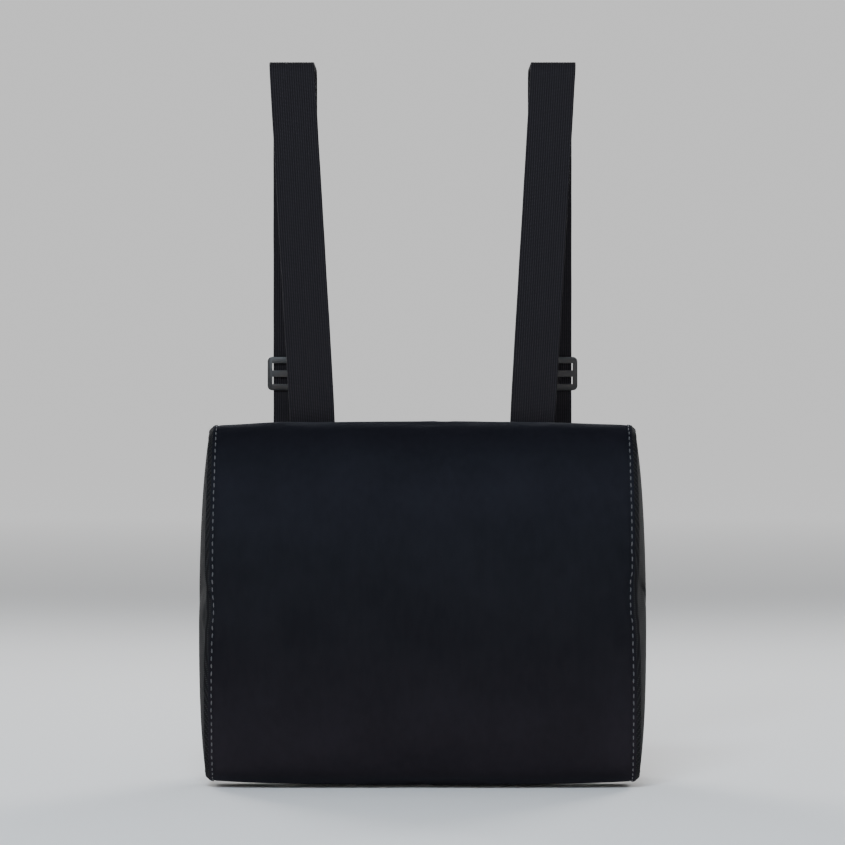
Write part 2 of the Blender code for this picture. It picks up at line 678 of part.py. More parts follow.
def return_route(start_z):
    """The strap's way back from the plug's bar to the adjuster, and its sewn end round the middle bar."""
    rear = SLOT_SPACING / 2
    bar_y = REAR_RUN + GLIDE_BAR_Y
    radius = GLIDE_BAR / 2 + GAP + STRAP / 2
    turn_z = GLIDE_HEIGHT + GLIDE_BAR_HEIGHT / 2 - GAP
    t = np.linspace(0, math.pi, 9)
    wrap = np.column_stack(
        [np.full(len(t), rear), bar_y + radius * np.cos(t), turn_z + radius * np.sin(t)]
    )
    start_y = REAR_RUN + 2 * WRAP_RADIUS
    low_z = GLIDE_HEIGHT - GLIDE_BAR_HEIGHT / 2
    lap_y = bar_y + radius - STRAP - GAP
    lap = [
        ((rear, wrap[-1][1], turn_z), 0.0),
        ((rear, wrap[-1][1], low_z), LAP_ENTRY),
        ((rear, lap_y, low_z - LAP_ROOM), LAP_BEND),
        ((rear, lap_y, low_z - LAP_ROOM - SEWN_LAP / 2), 0.0),
    ]
    lap = rounded(lap, closed=False, steps=3)[1:]
    lap_foot = low_z - 2 * LAP_ROOM - SEWN_LAP / 2
    rise = [
        ((rear, start_y, start_z), 0.0),
        ((rear, start_y, start_z + RETURN_RISE), RETURN_BEND),
        ((rear, bar_y + radius, lap_foot), RETURN_BEND),
        ((rear, bar_y + radius, low_z), 0.0),
    ]
    return np.concatenate([rounded(rise, closed=False, steps=3), wrap, lap])


def strap_slots(panels):
    """Cuts each panel where a strap is caught in its seam."""
    clear = 2 * GAP
    for side, word in ((-1, "left"), (1, "right")):
        for route, place in ((upper_strap_route(), "top"), (lower_strap_route(), "bottom")):
            start = route[0] + (route[1] - route[0]) * 0.02
            shape = ribbon([start, route[1]], STRAP_WIDTH + clear, STRAP + clear)
            cutter = mesh_object(f"{word}_{place}_seam_slot", *sided(side, shape), None)
            for panel in panels:
                boolean(panel, cutter, "DIFFERENCE")


def strap_set(side, word):
    route = upper_strap_route()
    shape = ribbon(route, STRAP_WIDTH, STRAP)
    mesh_object(f"{word}_upper_strap", *sided(side, shape), ELASTIC)
    shape = ribbon(return_route(route[-1][2] + GAP), STRAP_WIDTH, STRAP)
    mesh_object(f"{word}_strap_return", *sided(side, shape), ELASTIC)
    route = lower_strap_route()
    shape = ribbon(route, STRAP_WIDTH, STRAP)
    mesh_object(f"{word}_lower_strap", *sided(side, shape), ELASTIC)
    shape = ribbon(lower_end_route(route[-1][2] + GAP), STRAP_WIDTH, STRAP)
    mesh_object(f"{word}_lower_strap_end", *sided(side, shape), ELASTIC)


# ---- Buckles and adjusters ----


def web_plate(x, z_range, bar_z):
    """A plate for webbing: a rounded plate with a slot, whose end beyond the slot is the bar."""
    half = FITTING_WIDTH / 2
    y = REAR_RUN + BAR_Y
    outline = rounded_box((x - half, x + half), z_range, 2.4 * MM)
    body = plate(outline, 1, y - BAR / 2, y + BAR / 2)
    toward = 1 if bar_z < sum(z_range) / 2 else -1
    near = bar_z + toward * BAR_HEIGHT / 2
    slot_z = sorted([near, near + toward * WEB_SLOT])
    slot = rounded_box((x - half + RAIL, x + half - RAIL), slot_z, 1.2 * MM)
    return body, plate(slot, 1, y - BAR, y + BAR)


def buckle_plug(word, x):
    """The half with the prongs: a webbing bar, a base and a guide tongue."""
    y = REAR_RUN + BAR_Y
    half = FITTING_WIDTH / 2
    base = rounded_box((x - half, x + half), (PLUG_BASE_END, PLUG_BASE_TOP), 1.6 * MM)
    shape = plate(base, 1, y - SOCKET_DEPTH / 2, y + SOCKET_DEPTH / 2)
    plug = mesh_object(f"{word}_buckle_plug", *shape, ACETAL)
    bevel(plug, 0.8 * MM)
    top = PLUG_BAR + BAR_HEIGHT / 2
    body, slot = web_plate(x, (PLUG_BASE_TOP - BAR_HEIGHT / 2, top), PLUG_BAR)
    boolean(plug, mesh_object(f"{word}_plug_plate", *body, None), "UNION")
    boolean(plug, mesh_object(f"{word}_plug_slot", *slot, None), "DIFFERENCE")
    tip = PLUG_BASE_END - TONGUE_LENGTH
    tongue = [
        ((x - TONGUE_WIDTH / 2, PLUG_BASE_END + MM), 0.0),
        ((x + TONGUE_WIDTH / 2, PLUG_BASE_END + MM), 0.0),
        ((x + TONGUE_WIDTH / 2, tip + 4 * MM), 3 * MM),
        ((x + TONGUE_WIDTH / 4, tip), MM),
        ((x - TONGUE_WIDTH / 4, tip), MM),
        ((x - TONGUE_WIDTH / 2, tip + 4 * MM), 3 * MM),
    ]
    shape = plate(rounded(tongue, closed=True, steps=2), 1, y - TONGUE / 2, y + TONGUE / 2)
    boolean(plug, mesh_object(f"{word}_plug_tongue", *shape, None), "UNION")


def buckle_prong(name, x, out):
    """A springy arm with a latch and a finger wing, out being the way that its wing faces."""
    y = REAR_RUN + BAR_Y
    arm = PRONG_ARM / 2
    tip = PRONG_TOP - PRONG_LENGTH
    latch_z = SOCKET_MOUTH - WINDOW_TOP - MOUTH_GAP
    outline = [
        ((PRONG_PIVOT - arm, PRONG_TOP + arm), arm * 0.95),
        ((PRONG_PIVOT - arm, tip), 1.5 * MM),
        ((PRONG_PIVOT + arm, tip), 1.5 * MM),
        ((PRONG_WING, latch_z - 9 * MM), 4 * MM),
        ((PRONG_WING, latch_z - 3 * MM), 2 * MM),
        ((PRONG_LATCH, latch_z), 0.5 * MM),
        ((PRONG_PIVOT + arm, latch_z), 0.8 * MM),
        ((PRONG_PIVOT + arm, PRONG_TOP + arm), arm * 0.95),
    ]
    placed = [((x + out * a, z), r) for (a, z), r in outline]
    shape = plate(rounded(placed, closed=True, steps=3), 1, y - PRONG / 2, y + PRONG / 2)
    pivot = (x + out * PRONG_PIVOT, y, PRONG_TOP)
    return mesh_object(name, *shape, ACETAL, pivot=pivot)


def buckle_socket(word, x):
    """The half that slides off: a flat case with a mouth, two side windows and a webbing bar."""
    y = REAR_RUN + BAR_Y
    half = FITTING_WIDTH / 2
    case = rounded_box((x - half, x + half), (SOCKET_END, SOCKET_MOUTH), 2.4 * MM)
    shape = plate(case, 1, y - SOCKET_DEPTH / 2, y + SOCKET_DEPTH / 2)
    pivot = (x, y, SOCKET_MOUTH)
    socket = mesh_object(f"{word}_buckle_socket", *shape, ACETAL, pivot=pivot)
    bevel(socket, 1.2 * MM)
    body, slot = web_plate(x, (SOCKET_BAR - BAR_HEIGHT / 2, SOCKET_END + BAR_HEIGHT), SOCKET_BAR)
    boolean(socket, mesh_object(f"{word}_socket_plate", *body, None), "UNION")
    boolean(socket, mesh_object(f"{word}_socket_slot", *slot, None), "DIFFERENCE")
    inner = SOCKET_DEPTH / 2 - SOCKET_WALL
    low = (x - MOUTH_WIDTH / 2, y - inner, SOCKET_END + SOCKET_FLOOR)
    high = (x + MOUTH_WIDTH / 2, y + inner, SOCKET_MOUTH + MM)
    boolean(socket, mesh_object(f"{word}_socket_hollow", *box_shape(low, high), None), "DIFFERENCE")
    window = SOCKET_MOUTH - WINDOW_TOP
    shape = box_shape(
        (x - half - MM, y - inner, window - WINDOW_HEIGHT),
        (x + half + MM, y + inner, window),
    )
    boolean(socket, mesh_object(f"{word}_socket_windows", *shape, None), "DIFFERENCE")


def strap_glide(word, x):
    """The adjuster: two bars in front of the strap, and one behind it that holds the sewn end."""
    half, long = FITTING_WIDTH / 2, GLIDE_LENGTH / 2
    front, back = GLIDE_FRONT_Y - GLIDE_BAR / 2, GLIDE_BAR_Y + GLIDE_BAR / 2
    outline = rounded_box((x - half, x + half), (GLIDE_HEIGHT - long, GLIDE_HEIGHT + long), 3 * MM)
    shape = plate(outline, 1, REAR_RUN + front, REAR_RUN + back)
    glide = mesh_object(f"{word}_strap_glide", *shape, ACETAL, pivot=(x, REAR_RUN, GLIDE_HEIGHT))
    bevel(glide, 0.7 * MM)
    rail = half - RAIL
    cut = GLIDE_LENGTH / 4
    middle = (x - rail, REAR_RUN + GLIDE_FRONT_Y + GLIDE_BAR / 2, GLIDE_HEIGHT - long - cut)
    end = (x + rail, REAR_RUN + GLIDE_BAR_Y - GLIDE_BAR / 2, GLIDE_HEIGHT + long + cut)
    boolean(glide, mesh_object(f"{word}_glide_way", *box_shape(middle, end), None), "DIFFERENCE")
    for up, name in ((-1, "low"), (1, "high")):
        near = GLIDE_HEIGHT + up * (long - GLIDE_BAR_HEIGHT)
        z = sorted([near, GLIDE_HEIGHT + up * GLIDE_BAR_HEIGHT / 2])
        low = (x - rail, REAR_RUN + front - cut, z[0])
        high = (x + rail, REAR_RUN + back + cut, z[1])
        slot = mesh_object(f"{word}_glide_slot_{name}", *box_shape(low, high), None)
        boolean(glide, slot, "DIFFERENCE")
        z = sorted([near - up * GAP, GLIDE_HEIGHT + up * (long + cut)])
        low = (x - rail, REAR_RUN + GLIDE_BAR_Y - GLIDE_BAR / 2 - GAP, z[0])
        high = (x + rail, REAR_RUN + back + cut, z[1])
        open_end = mesh_object(f"{word}_glide_open_{name}", *box_shape(low, high), None)
        boolean(glide, open_end, "DIFFERENCE")


def main():
    clear_scene()
    filling()
    panels = cover_panels()
    side_panel("cover_left_side", -1)
    side_panel("cover_right_side", 1)
    strap_slots(panels)
    zipper()
    for side, word in ((-1, "left"), (1, "right")):
        x = side * SLOT_SPACING / 2
        strap_set(side, word)
        strap_glide(word, x)
        buckle_plug(word, x)
        buckle_prong(f"{word}_buckle_prong_outer", x, side)
        buckle_prong(f"{word}_buckle_prong_inner", x, -side)
        buckle_socket(word, x)


main()
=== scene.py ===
"""The looks of a strapped lumbar cushion: cover, filling, zip, straps and buckles.

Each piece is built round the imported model, in metres in its frame: +X right, +Y out of the back, +Z up.
"""

from __future__ import annotations

import logging
import math
from collections.abc import Callable
from dataclasses import dataclass, field
from enum import Enum

import bmesh
import bpy
import numpy as np
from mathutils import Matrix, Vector


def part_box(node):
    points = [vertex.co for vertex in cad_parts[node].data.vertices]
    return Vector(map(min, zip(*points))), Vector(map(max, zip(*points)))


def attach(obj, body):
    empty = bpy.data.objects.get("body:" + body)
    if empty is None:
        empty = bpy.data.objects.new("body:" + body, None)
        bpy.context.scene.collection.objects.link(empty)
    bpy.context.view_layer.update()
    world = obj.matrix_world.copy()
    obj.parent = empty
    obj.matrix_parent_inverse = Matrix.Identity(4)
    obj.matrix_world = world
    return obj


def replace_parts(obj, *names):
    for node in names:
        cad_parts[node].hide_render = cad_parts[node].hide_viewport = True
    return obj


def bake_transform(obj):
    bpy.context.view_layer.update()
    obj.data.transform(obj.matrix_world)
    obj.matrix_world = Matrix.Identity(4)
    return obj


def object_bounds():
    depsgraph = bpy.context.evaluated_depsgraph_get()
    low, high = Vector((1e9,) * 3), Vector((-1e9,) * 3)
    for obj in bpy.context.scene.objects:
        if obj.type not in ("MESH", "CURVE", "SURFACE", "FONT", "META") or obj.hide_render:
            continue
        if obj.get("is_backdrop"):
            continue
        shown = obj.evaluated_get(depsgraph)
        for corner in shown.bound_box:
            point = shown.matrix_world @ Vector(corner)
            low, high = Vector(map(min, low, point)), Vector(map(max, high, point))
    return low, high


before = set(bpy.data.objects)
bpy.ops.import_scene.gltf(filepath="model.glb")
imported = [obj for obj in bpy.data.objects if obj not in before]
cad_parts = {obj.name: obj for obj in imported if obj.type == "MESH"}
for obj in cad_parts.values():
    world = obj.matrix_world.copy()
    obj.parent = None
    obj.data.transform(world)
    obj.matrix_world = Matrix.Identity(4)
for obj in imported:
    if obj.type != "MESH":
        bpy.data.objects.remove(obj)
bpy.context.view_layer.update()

MM = 0.001
SAME_POINT = 0.02 * MM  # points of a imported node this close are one
SAME_CORNER = 0.002 * MM  # and so are points of a rounded edge
FLAT_BELOW = math.radians(1.0)  # faces that meet at less are one
EDGE_ABOVE = math.radians(32.0)  # edges that turn by more are rounded
Array = np.ndarray
Piece = bpy.types.Object
Socket = bpy.types.NodeSocket
log = logging.getLogger("lumbar_cushion")


class Side(Enum):
    """The left and right halves of the object, as seen from the front."""

    LEFT = -1
    RIGHT = 1

    @property
    def word(self) -> str:
        """The side's name, as the nodes spell it."""
        return self.name.lower()

    @property
    def station(self) -> int:
        """The side's end of a row of stations that runs from left to right."""
        return 0 if self is Side.LEFT else -1


# ---------------------------------------------------------------- finishes


class Shader:
    """A material's nodes, added and joined by short calls."""

    def __init__(self, name: str, colour: tuple, roughness: float, **sockets: object) -> None:
        """Starts a Principled material.

        Args:
            name: the material's name.
            colour: linear base colour.
            roughness: base roughness.
            sockets: other Principled sockets by name, with _ for a space.
        """
        self.material = bpy.data.materials.new(name)
        self.material.use_nodes = True
        self.tree = self.material.node_tree
        self.surface = self.tree.nodes["Principled BSDF"]
        self.surface.inputs["Base Color"].default_value = (*colour, 1.0)
        self.surface.inputs["Roughness"].default_value = roughness
        for socket, value in sockets.items():
            self.surface.inputs[socket.replace("_", " ")].default_value = value
        self.material.diffuse_color = (*colour, 1.0)

    def node(self, kind: str, **settings: object) -> bpy.types.Node:
        """Adds a node and sets its properties.

        Args:
            kind: the node's type, without its ShaderNode prefix.
            settings: properties by name.
        Returns:
            The new node.
        """
        made = self.tree.nodes.new("ShaderNode" + kind)
        for name, value in settings.items():
            setattr(made, name, value)
        return made

    def join(self, source: Socket, target: Socket) -> None:
        """Links two sockets."""
        self.tree.links.new(source, target)

    def place(self, source: str = "Object", scale: tuple = (1.0, 1.0, 1.0)) -> Socket:
        """Coordinates for a pattern: Object or UV, stretched by scale.

        Args:
            source: which coordinates to read.
            scale: how much to stretch each axis by.
        Returns:
            The coordinates.
        """
        coordinates = self.node("TexCoord")
        mapping = self.node("Mapping")
        mapping.inputs["Scale"].default_value = scale
        self.join(coordinates.outputs[source], mapping.inputs["Vector"])
        return mapping.outputs["Vector"]

    def noise(self, place: Socket, scale: float, detail: float = 2.0) -> Socket:
        """Noise with scale features to the metre, from 0 to 1.

        Args:
            place: where to read it.
            scale: features to the metre.
            detail: how many finer layers it has.
        Returns:
            The noise.
        """
        made = self.node("TexNoise")
        made.inputs["Scale"].default_value = scale
        made.inputs["Detail"].default_value = detail
        self.join(place, made.inputs["Vector"])
        return made.outputs["Fac"]

    def cells(self, place: Socket, scale: float) -> Socket:
        """Distance to the middle of the nearest cell, with scale cells to the metre.

        Args:
            place: where to read them.
            scale: cells to the metre.
        Returns:
            The distance.
        """
        made = self.node("TexVoronoi")
        made.inputs["Scale"].default_value = scale
        self.join(place, made.inputs["Vector"])
        return made.outputs["Distance"]

    def sum_of(self, *parts: tuple) -> Socket:
        """Adds sockets up, each times its share.

        Args:
            parts: (socket, share) pairs.
        Returns:
            The sum's socket.
        """
        total = None
        for socket, share in parts:
            step = self.node("Math", operation="MULTIPLY_ADD")
            self.join(socket, step.inputs[0])
            step.inputs[1].default_value = share
            step.inputs[2].default_value = 0.0
            if total is not None:
                self.join(total, step.inputs[2])
            total = step.outputs[0]
        return total

    def threads(self, across: float, along: float, source: str = "UV") -> Socket:
        """A weave's height: sin(across) + sin(along) + their product, each with its own pitch in metres.

        Args:
            across: pitch across, in metres.
            along: pitch along, in metres.
            source: which coordinates to read.
        Returns:
            The height.
        """
        split = self.node("SeparateXYZ")
        self.join(self.place(source), split.inputs[0])
        waves = []
        for axis, pitch in enumerate((across, along)):
            turn = self.node("Math", operation="MULTIPLY")
            self.join(split.outputs[axis], turn.inputs[0])
            turn.inputs[1].default_value = 2 * math.pi / pitch
            wave = self.node("Math", operation="SINE")
            self.join(turn.outputs[0], wave.inputs[0])
            waves.append(wave.outputs[0])
        product = self.node("Math", operation="MULTIPLY")
        self.join(waves[0], product.inputs[0])
        self.join(waves[1], product.inputs[1])
        return self.sum_of((waves[0], 0.5), (waves[1], 0.25), (product.outputs[0], 0.6))

    def ramp(self, value: Socket, stops: list[tuple]) -> Socket:
        """A colour that depends on value.

        Args:
            value: the socket that is looked up.
            stops: (value, colour) pairs in rising order.
        Returns:
            The colour's socket.
        """
        made = self.node("ValToRGB")
        elements = made.color_ramp.elements
        while len(elements) < len(stops):
            elements.new(1.0)
        for element, (position, colour) in zip(elements, stops):
            element.position = position
            element.color = (*colour, 1.0)
        self.join(value, made.inputs["Fac"])
        return made.outputs["Color"]

    def mottle(self, value: Socket, dark: tuple, light: tuple, low: float, high: float) -> None:
        """Colours the surface from dark to light as value goes from low to high."""
        self.join(self.ramp(value, [(low, dark), (high, light)]), self.surface.inputs["Base Color"])

    def spread(self, value: Socket, given: tuple, wanted: tuple) -> Socket:
        """Value moved from the given range to the wanted one, and kept inside it.

        Args:
            value: what to move.
            given: the range it has.
            wanted: the range it gets.
        Returns:
            The moved value.
        """
        made = self.node("MapRange")
        for name, limit in zip(("From Min", "From Max", "To Min", "To Max"), (*given, *wanted)):
            made.inputs[name].default_value = limit
        self.join(value, made.inputs["Value"])
        return made.outputs["Result"]

    def height(self, low: float, high: float) -> Socket:
        """Height above the origin, as a share from low to high.

        Args:
            low: where the share is 0, in metres.
            high: where it is 1.
        Returns:
            The share.
        """
        split = self.node("SeparateXYZ")
        self.join(self.place(), split.inputs[0])
        return self.spread(split.outputs["Z"], (low, high), (0.0, 1.0))

    def tinted(self, colour: Socket, share: Socket) -> None:
        """Colours the surface with a colour times a share.

        Args:
            colour: the colour.
            share: what it is multiplied by.
        """
        made = self.node("VectorMath", operation="SCALE")
        self.join(colour, made.inputs[0])
        self.join(share, made.inputs["Scale"])
        self.join(made.outputs[0], self.surface.inputs["Base Color"])

    def vary_roughness(self, value: Socket, low: float, high: float) -> None:
        """Roughness from low to high as value goes from 0 to 1."""
        self.join(self.spread(value, (0.0, 1.0), (low, high)), self.surface.inputs["Roughness"])

    def bump(self, height: Socket, strength: float, distance: float) -> None:
        """Raises the surface by height times distance, in metres.

        Args:
            height: the pattern.
            strength: how much of it shows.
            distance: how far it raises the surface.
        """
        made = self.node("Bump")
        made.inputs["Strength"].default_value = strength
        made.inputs["Distance"].default_value = distance
        self.join(height, made.inputs["Height"])
        self.join(made.outputs["Normal"], self.surface.inputs["Normal"])


def scaled(colour: tuple, share: float) -> tuple:
    """A colour made lighter or darker by share."""
    return tuple(c * share for c in colour)


@dataclass(frozen=True)
class Finish:
    """What a surface is made of: a slot that goes into its material's name, a colour and a roughness."""

    slot: str
    colour: tuple
    roughness: float

    def material(self) -> bpy.types.Material:
        """The finish as a material, made once."""
        name = "finish_" + type(self).__name__.lower() + "_" + self.slot
        return bpy.data.materials.get(name) or self.build(name)

    def build(self, name: str) -> bpy.types.Material:
        """Makes the material. Each kind of finish has its own."""
        raise NotImplementedError


@dataclass(frozen=True)
class Velvet(Finish):
    """Short blue-black pile, a little crushed, with a soft bluish sheen."""

    sheen: float = 0.022
    tint: tuple = (0.62, 0.74, 1.0)
    # Painted light by height: a warm painted highlight low on the front, painted shade across the middle, a
    # cool painted highlight higher up and painted shade over the top roll.
    lay: tuple = (
        (0.00, (0.95, 0.88, 0.88)),
        (0.05, (1.45, 1.28, 1.22)),
        (0.14, (1.42, 1.26, 1.20)),
        (0.26, (1.10, 1.02, 0.98)),
        (0.42, (0.86, 0.86, 0.82)),
        (0.66, (0.92, 0.98, 0.96)),
        (0.82, (1.06, 1.12, 1.14)),
        (0.90, (0.90, 0.96, 0.98)),
        (0.97, (0.66, 0.66, 0.70)),
    )

    def build(self, name: str) -> bpy.types.Material:
        """Makes the material: painted light and shade by height, with crushed patches and streaks.

        Args:
            name: the material's name.
        Returns:
            The material.
        """
        shader = Shader(
            name,
            self.colour,
            self.roughness,
            Sheen_Weight=self.sheen,
            Sheen_Roughness=0.5,
            Sheen_Tint=(*self.tint, 1.0),
            Specular_IOR_Level=0.02,
        )
        place = shader.place()
        patches = shader.noise(place, 26.0, 3.0)
        streaks = shader.noise(shader.place(scale=(260.0, 260.0, 70.0)), 1.0, 2.0)
        fibres = shader.noise(place, 2600.0, 2.0)
        nap = shader.sum_of((patches, 0.4), (streaks, 0.3), (fibres, 0.3))
        # Painted highlights and painted shade by height, times the pile's own patchy tone.
        painted_stops = [(share, tuple(c * t for c, t in zip(self.colour, painted_light))) for share, painted_light in self.lay]
        painted_light = shader.ramp(shader.height(-120 * MM, 120 * MM), painted_stops)
        shader.tinted(painted_light, shader.spread(nap, (0.38, 0.62), (0.86, 1.16)))
        shader.vary_roughness(patches, self.roughness - 0.08, self.roughness + 0.08)
        shader.bump(shader.sum_of((fibres, 0.8), (streaks, 0.35)), 0.35, 0.25 * MM)
        return shader.material


@dataclass(frozen=True)
class Knit(Finish):
    """A neutral black knitted cloth with a small bird's-eye pattern that follows the panel."""

    pitch: float = 1.6 * MM

    def build(self, name: str) -> bpy.types.Material:
        """Makes the material: knitted loops with painted shade in their pits and painted highlights on
        their tops, and a little lint.

        Args:
            name: the material's name.
        Returns:
            The material.
        """
        shader = Shader(name, self.colour, self.roughness, Sheen_Weight=0.01, Specular_IOR_Level=0.04)
        loops = shader.threads(self.pitch, self.pitch * 0.8)
        lint = shader.noise(shader.place(), 900.0, 3.0)
        height = shader.sum_of((loops, 0.5), (lint, 0.4))
        # Colour follows the height: painted shade in the pits and painted highlights on the loops, plus
        # random lint tone.
        shader.mottle(height, scaled(self.colour, 0.5), scaled(self.colour, 1.7), -0.2, 0.75)
        shader.bump(height, 0.7, 0.3 * MM)
        return shader.material


@dataclass(frozen=True)
class Elastic(Finish):
    """Ribbed elastic webbing: lengthwise rubber cords under a cross weave."""

    rib: float = 1.5 * MM
    pick: float = 0.9 * MM

    def build(self, name: str) -> bpy.types.Material:
        """Makes the material: picks across the ribs, with painted highlights on their crests, painted shade
        between them and a little fuzz.

        Args:
            name: the material's name.
        Returns:
            The material.
        """
        shader = Shader(name, self.colour, self.roughness, Sheen_Weight=0.015, Specular_IOR_Level=0.08)
        weave = shader.threads(self.rib, self.pick)
        fuzz = shader.noise(shader.place(), 1500.0, 3.0)
        height = shader.sum_of((weave, 0.55), (fuzz, 0.3))
        # Colour follows the height: painted highlights on the crests and painted shade in the grooves, plus
        # random fuzz tone.
        shader.mottle(height, scaled(self.colour, 0.45), scaled(self.colour, 1.6), -0.3, 0.8)
        shader.bump(height, 0.65, 0.22 * MM)
        return shader.material


@dataclass(frozen=True)
class Moulded(Finish):
    """Injection-moulded plastic with a fine spark-eroded grain and faint scuffs."""

    grain: float = 2200.0

    def build(self, name: str) -> bpy.types.Material:
        """Makes the material: grain, and scuffs that are paler and duller.

        Args:
            name: the material's name.
        Returns:
            The material.
        """
        shader = Shader(name, self.colour, self.roughness, Specular_IOR_Level=0.45)
        place = shader.place()
        grain = shader.noise(place, self.grain, 2.0)
        scuffs = shader.noise(place, 160.0, 5.0)
        shader.mottle(scuffs, scaled(self.colour, 0.85), scaled(self.colour, 1.7), 0.45, 0.85)
        shader.vary_roughness(scuffs, self.roughness - 0.08, self.roughness + 0.14)
        shader.bump(grain, 0.25, 0.06 * MM)
        return shader.material


@dataclass(frozen=True)
class Zinc(Finish):
    """Die-cast zinc with a dark gunmetal plating, rubbed paler in places."""

    def build(self, name: str) -> bpy.types.Material:
        """Makes the material: cloudy plating over a slightly uneven casting.

        Args:
            name: the material's name.
        Returns:
            The material.
        """
        shader = Shader(name, self.colour, self.roughness, Metallic=1.0)
        place = shader.place()
        clouds = shader.noise(place, 900.0, 4.0)
        shader.mottle(clouds, scaled(self.colour, 0.86), scaled(self.colour, 1.3), 0.4, 0.8)
        shader.vary_roughness(clouds, self.roughness - 0.03, self.roughness + 0.07)
        shader.bump(shader.noise(place, 2500.0), 0.08, 0.03 * MM)
        return shader.material


@dataclass(frozen=True)
class Thread(Finish):
    """Twisted polyester sewing thread."""

    twist: float = 0.55 * MM

    def build(self, name: str) -> bpy.types.Material:
        """Makes the material: plies that wind round the thread, with painted highlights on them and painted
        shade between them.

        Args:
            name: the material's name.
        Returns:
            The material.
        """
        shader = Shader(name, self.colour, self.roughness, Sheen_Weight=0.2, Specular_IOR_Level=0.35)
        plies = shader.threads(0.5, self.twist)
        fuzz = shader.noise(shader.place(), 3000.0)
        height = shader.sum_of((plies, 0.8), (fuzz, 0.3))
        # Colour follows the height: painted highlights on the plies and painted shade between them, plus
        # random fuzz tone.
        shader.mottle(height, scaled(self.colour, 0.7), scaled(self.colour, 1.25), -0.3, 0.7)
        shader.bump(height, 0.4, 0.08 * MM)
        return shader.material


@dataclass(frozen=True)
class Foam(Finish):
    """Open-cell moulded foam."""

    def build(self, name: str) -> bpy.types.Material:
        """Makes the material: cells of two sizes over a slight yellowing.

        Args:
            name: the material's name.
        Returns:
            The material.
        """
        shader = Shader(name, self.colour, self.roughness, Specular_IOR_Level=0.1)
        place = shader.place()
        cells = shader.cells(place, 1100.0)
        age = shader.noise(place, 18.0, 3.0)
        shader.mottle(age, scaled(self.colour, 0.88), scaled(self.colour, 1.08), 0.35, 0.65)
        shader.bump(shader.sum_of((cells, 0.8), (shader.cells(place, 420.0), 0.5)), 0.6, 0.3 * MM)
        return shader.material


@dataclass(frozen=True)
class NonWoven(Finish):
    """Spun-bonded liner cloth with its grid of weld points."""

    weld: float = 2.0 * MM

    def build(self, name: str) -> bpy.types.Material:
        """Makes the material: weld dimples among loose fibres, with painted shade where the surface is low
        and random fibre tone.

        Args:
            name: the material's name.
        Returns:
            The material.
        """
        shader = Shader(name, self.colour, self.roughness, Specular_IOR_Level=0.2)
        welds = shader.threads(self.weld, self.weld)
        fibres = shader.noise(shader.place(), 800.0, 4.0)
        height = shader.sum_of((welds, 0.4), (fibres, 0.7))
        # Colour follows the height: painted shade in the low places, mixed with random fibre tone.
        shader.mottle(height, scaled(self.colour, 0.85), scaled(self.colour, 1.1), 0.0, 0.8)
        shader.bump(height, 0.4, 0.12 * MM)
        return shader.material


@dataclass(frozen=True)
class Paper(Finish):
    """The studio's pale floor, which glows far out so that it meets the sky without a line."""

    near: float = 1.3
    far: float = 5.2
    glow: float = 0.465

    def build(self, name: str) -> bpy.types.Material:
        """Makes the material: plain and matte, with a glow that grows with distance from the origin.

        Args:
            name: the material's name.
        Returns:
            The material.
        """
        white = (1, 1, 1, 1)
        shader = Shader(name, self.colour, self.roughness, Specular_IOR_Level=0.0, Emission_Color=white)
        length = shader.node("VectorMath", operation="LENGTH")
        shader.join(shader.place(), length.inputs[0])
        glow = shader.spread(length.outputs["Value"], (self.near, self.far), (0.0, self.glow))
        shader.join(glow, shader.surface.inputs["Emission Strength"])
        return shader.material


VELVET = Velvet("velvet", (0.0094, 0.0094, 0.0124), 0.88)
SIDE_CLOTH = Knit("side_cloth", (0.0135, 0.0135, 0.0148), 0.88)
ELASTIC = Elastic("elastic_webbing", (0.0178, 0.0160, 0.0190), 0.8)
ZIP_TAPE = Knit("zip_tape", (0.0125, 0.0125, 0.0135), 0.85, pitch=0.8 * MM)
COIL = Moulded("nylon_coil", (0.016, 0.016, 0.017), 0.38)
ACETAL = Moulded("acetal", (0.0105, 0.0105, 0.0115), 0.42)
ZINC = Zinc("dark_zinc", (0.085, 0.086, 0.092), 0.34)
FOAM = Foam("foam", (0.55, 0.50, 0.36), 0.95)
NON_WOVEN = NonWoven("non_woven", (0.026, 0.026, 0.028), 0.9)
TOPSTITCH = Thread("velvet", (0.080, 0.082, 0.089), 0.7)
TACK = Thread("elastic_webbing", (0.035, 0.035, 0.038), 0.75)
PAPER = Paper("floor", (0.86, 0.86, 0.86), 0.9)


# ---------------------------------------------------------------- surfaces


def spline_weights(count: int, places: Array, closed: bool = False) -> Array:
    """Catmull-Rom weights, which read a smooth line through count samples at fractional places.

    Args:
        count: number of samples, at places 0, 1, 2 and so on.
        places: where to read.
        closed: whether the samples form a loop.
    Returns:
        A matrix, one row to a place and one column to a sample.
    """
    places = np.asarray(places, float)
    base = np.floor(places).astype(int)
    if not closed:
        base = np.clip(base, 0, count - 2)
    f = places - base
    taps = (
        -0.5 * f + f**2 - 0.5 * f**3,
        1 - 2.5 * f**2 + 1.5 * f**3,
        0.5 * f + 2 * f**2 - 1.5 * f**3,
        -0.5 * f**2 + 0.5 * f**3,
    )
    weights = np.zeros((len(places), count))
    rows = np.arange(len(places))
    for step, tap in zip((-1, 0, 1, 2), taps):
        index = (base + step) % count if closed else np.clip(base + step, 0, count - 1)
        np.add.at(weights, (rows, index), tap)
    return weights


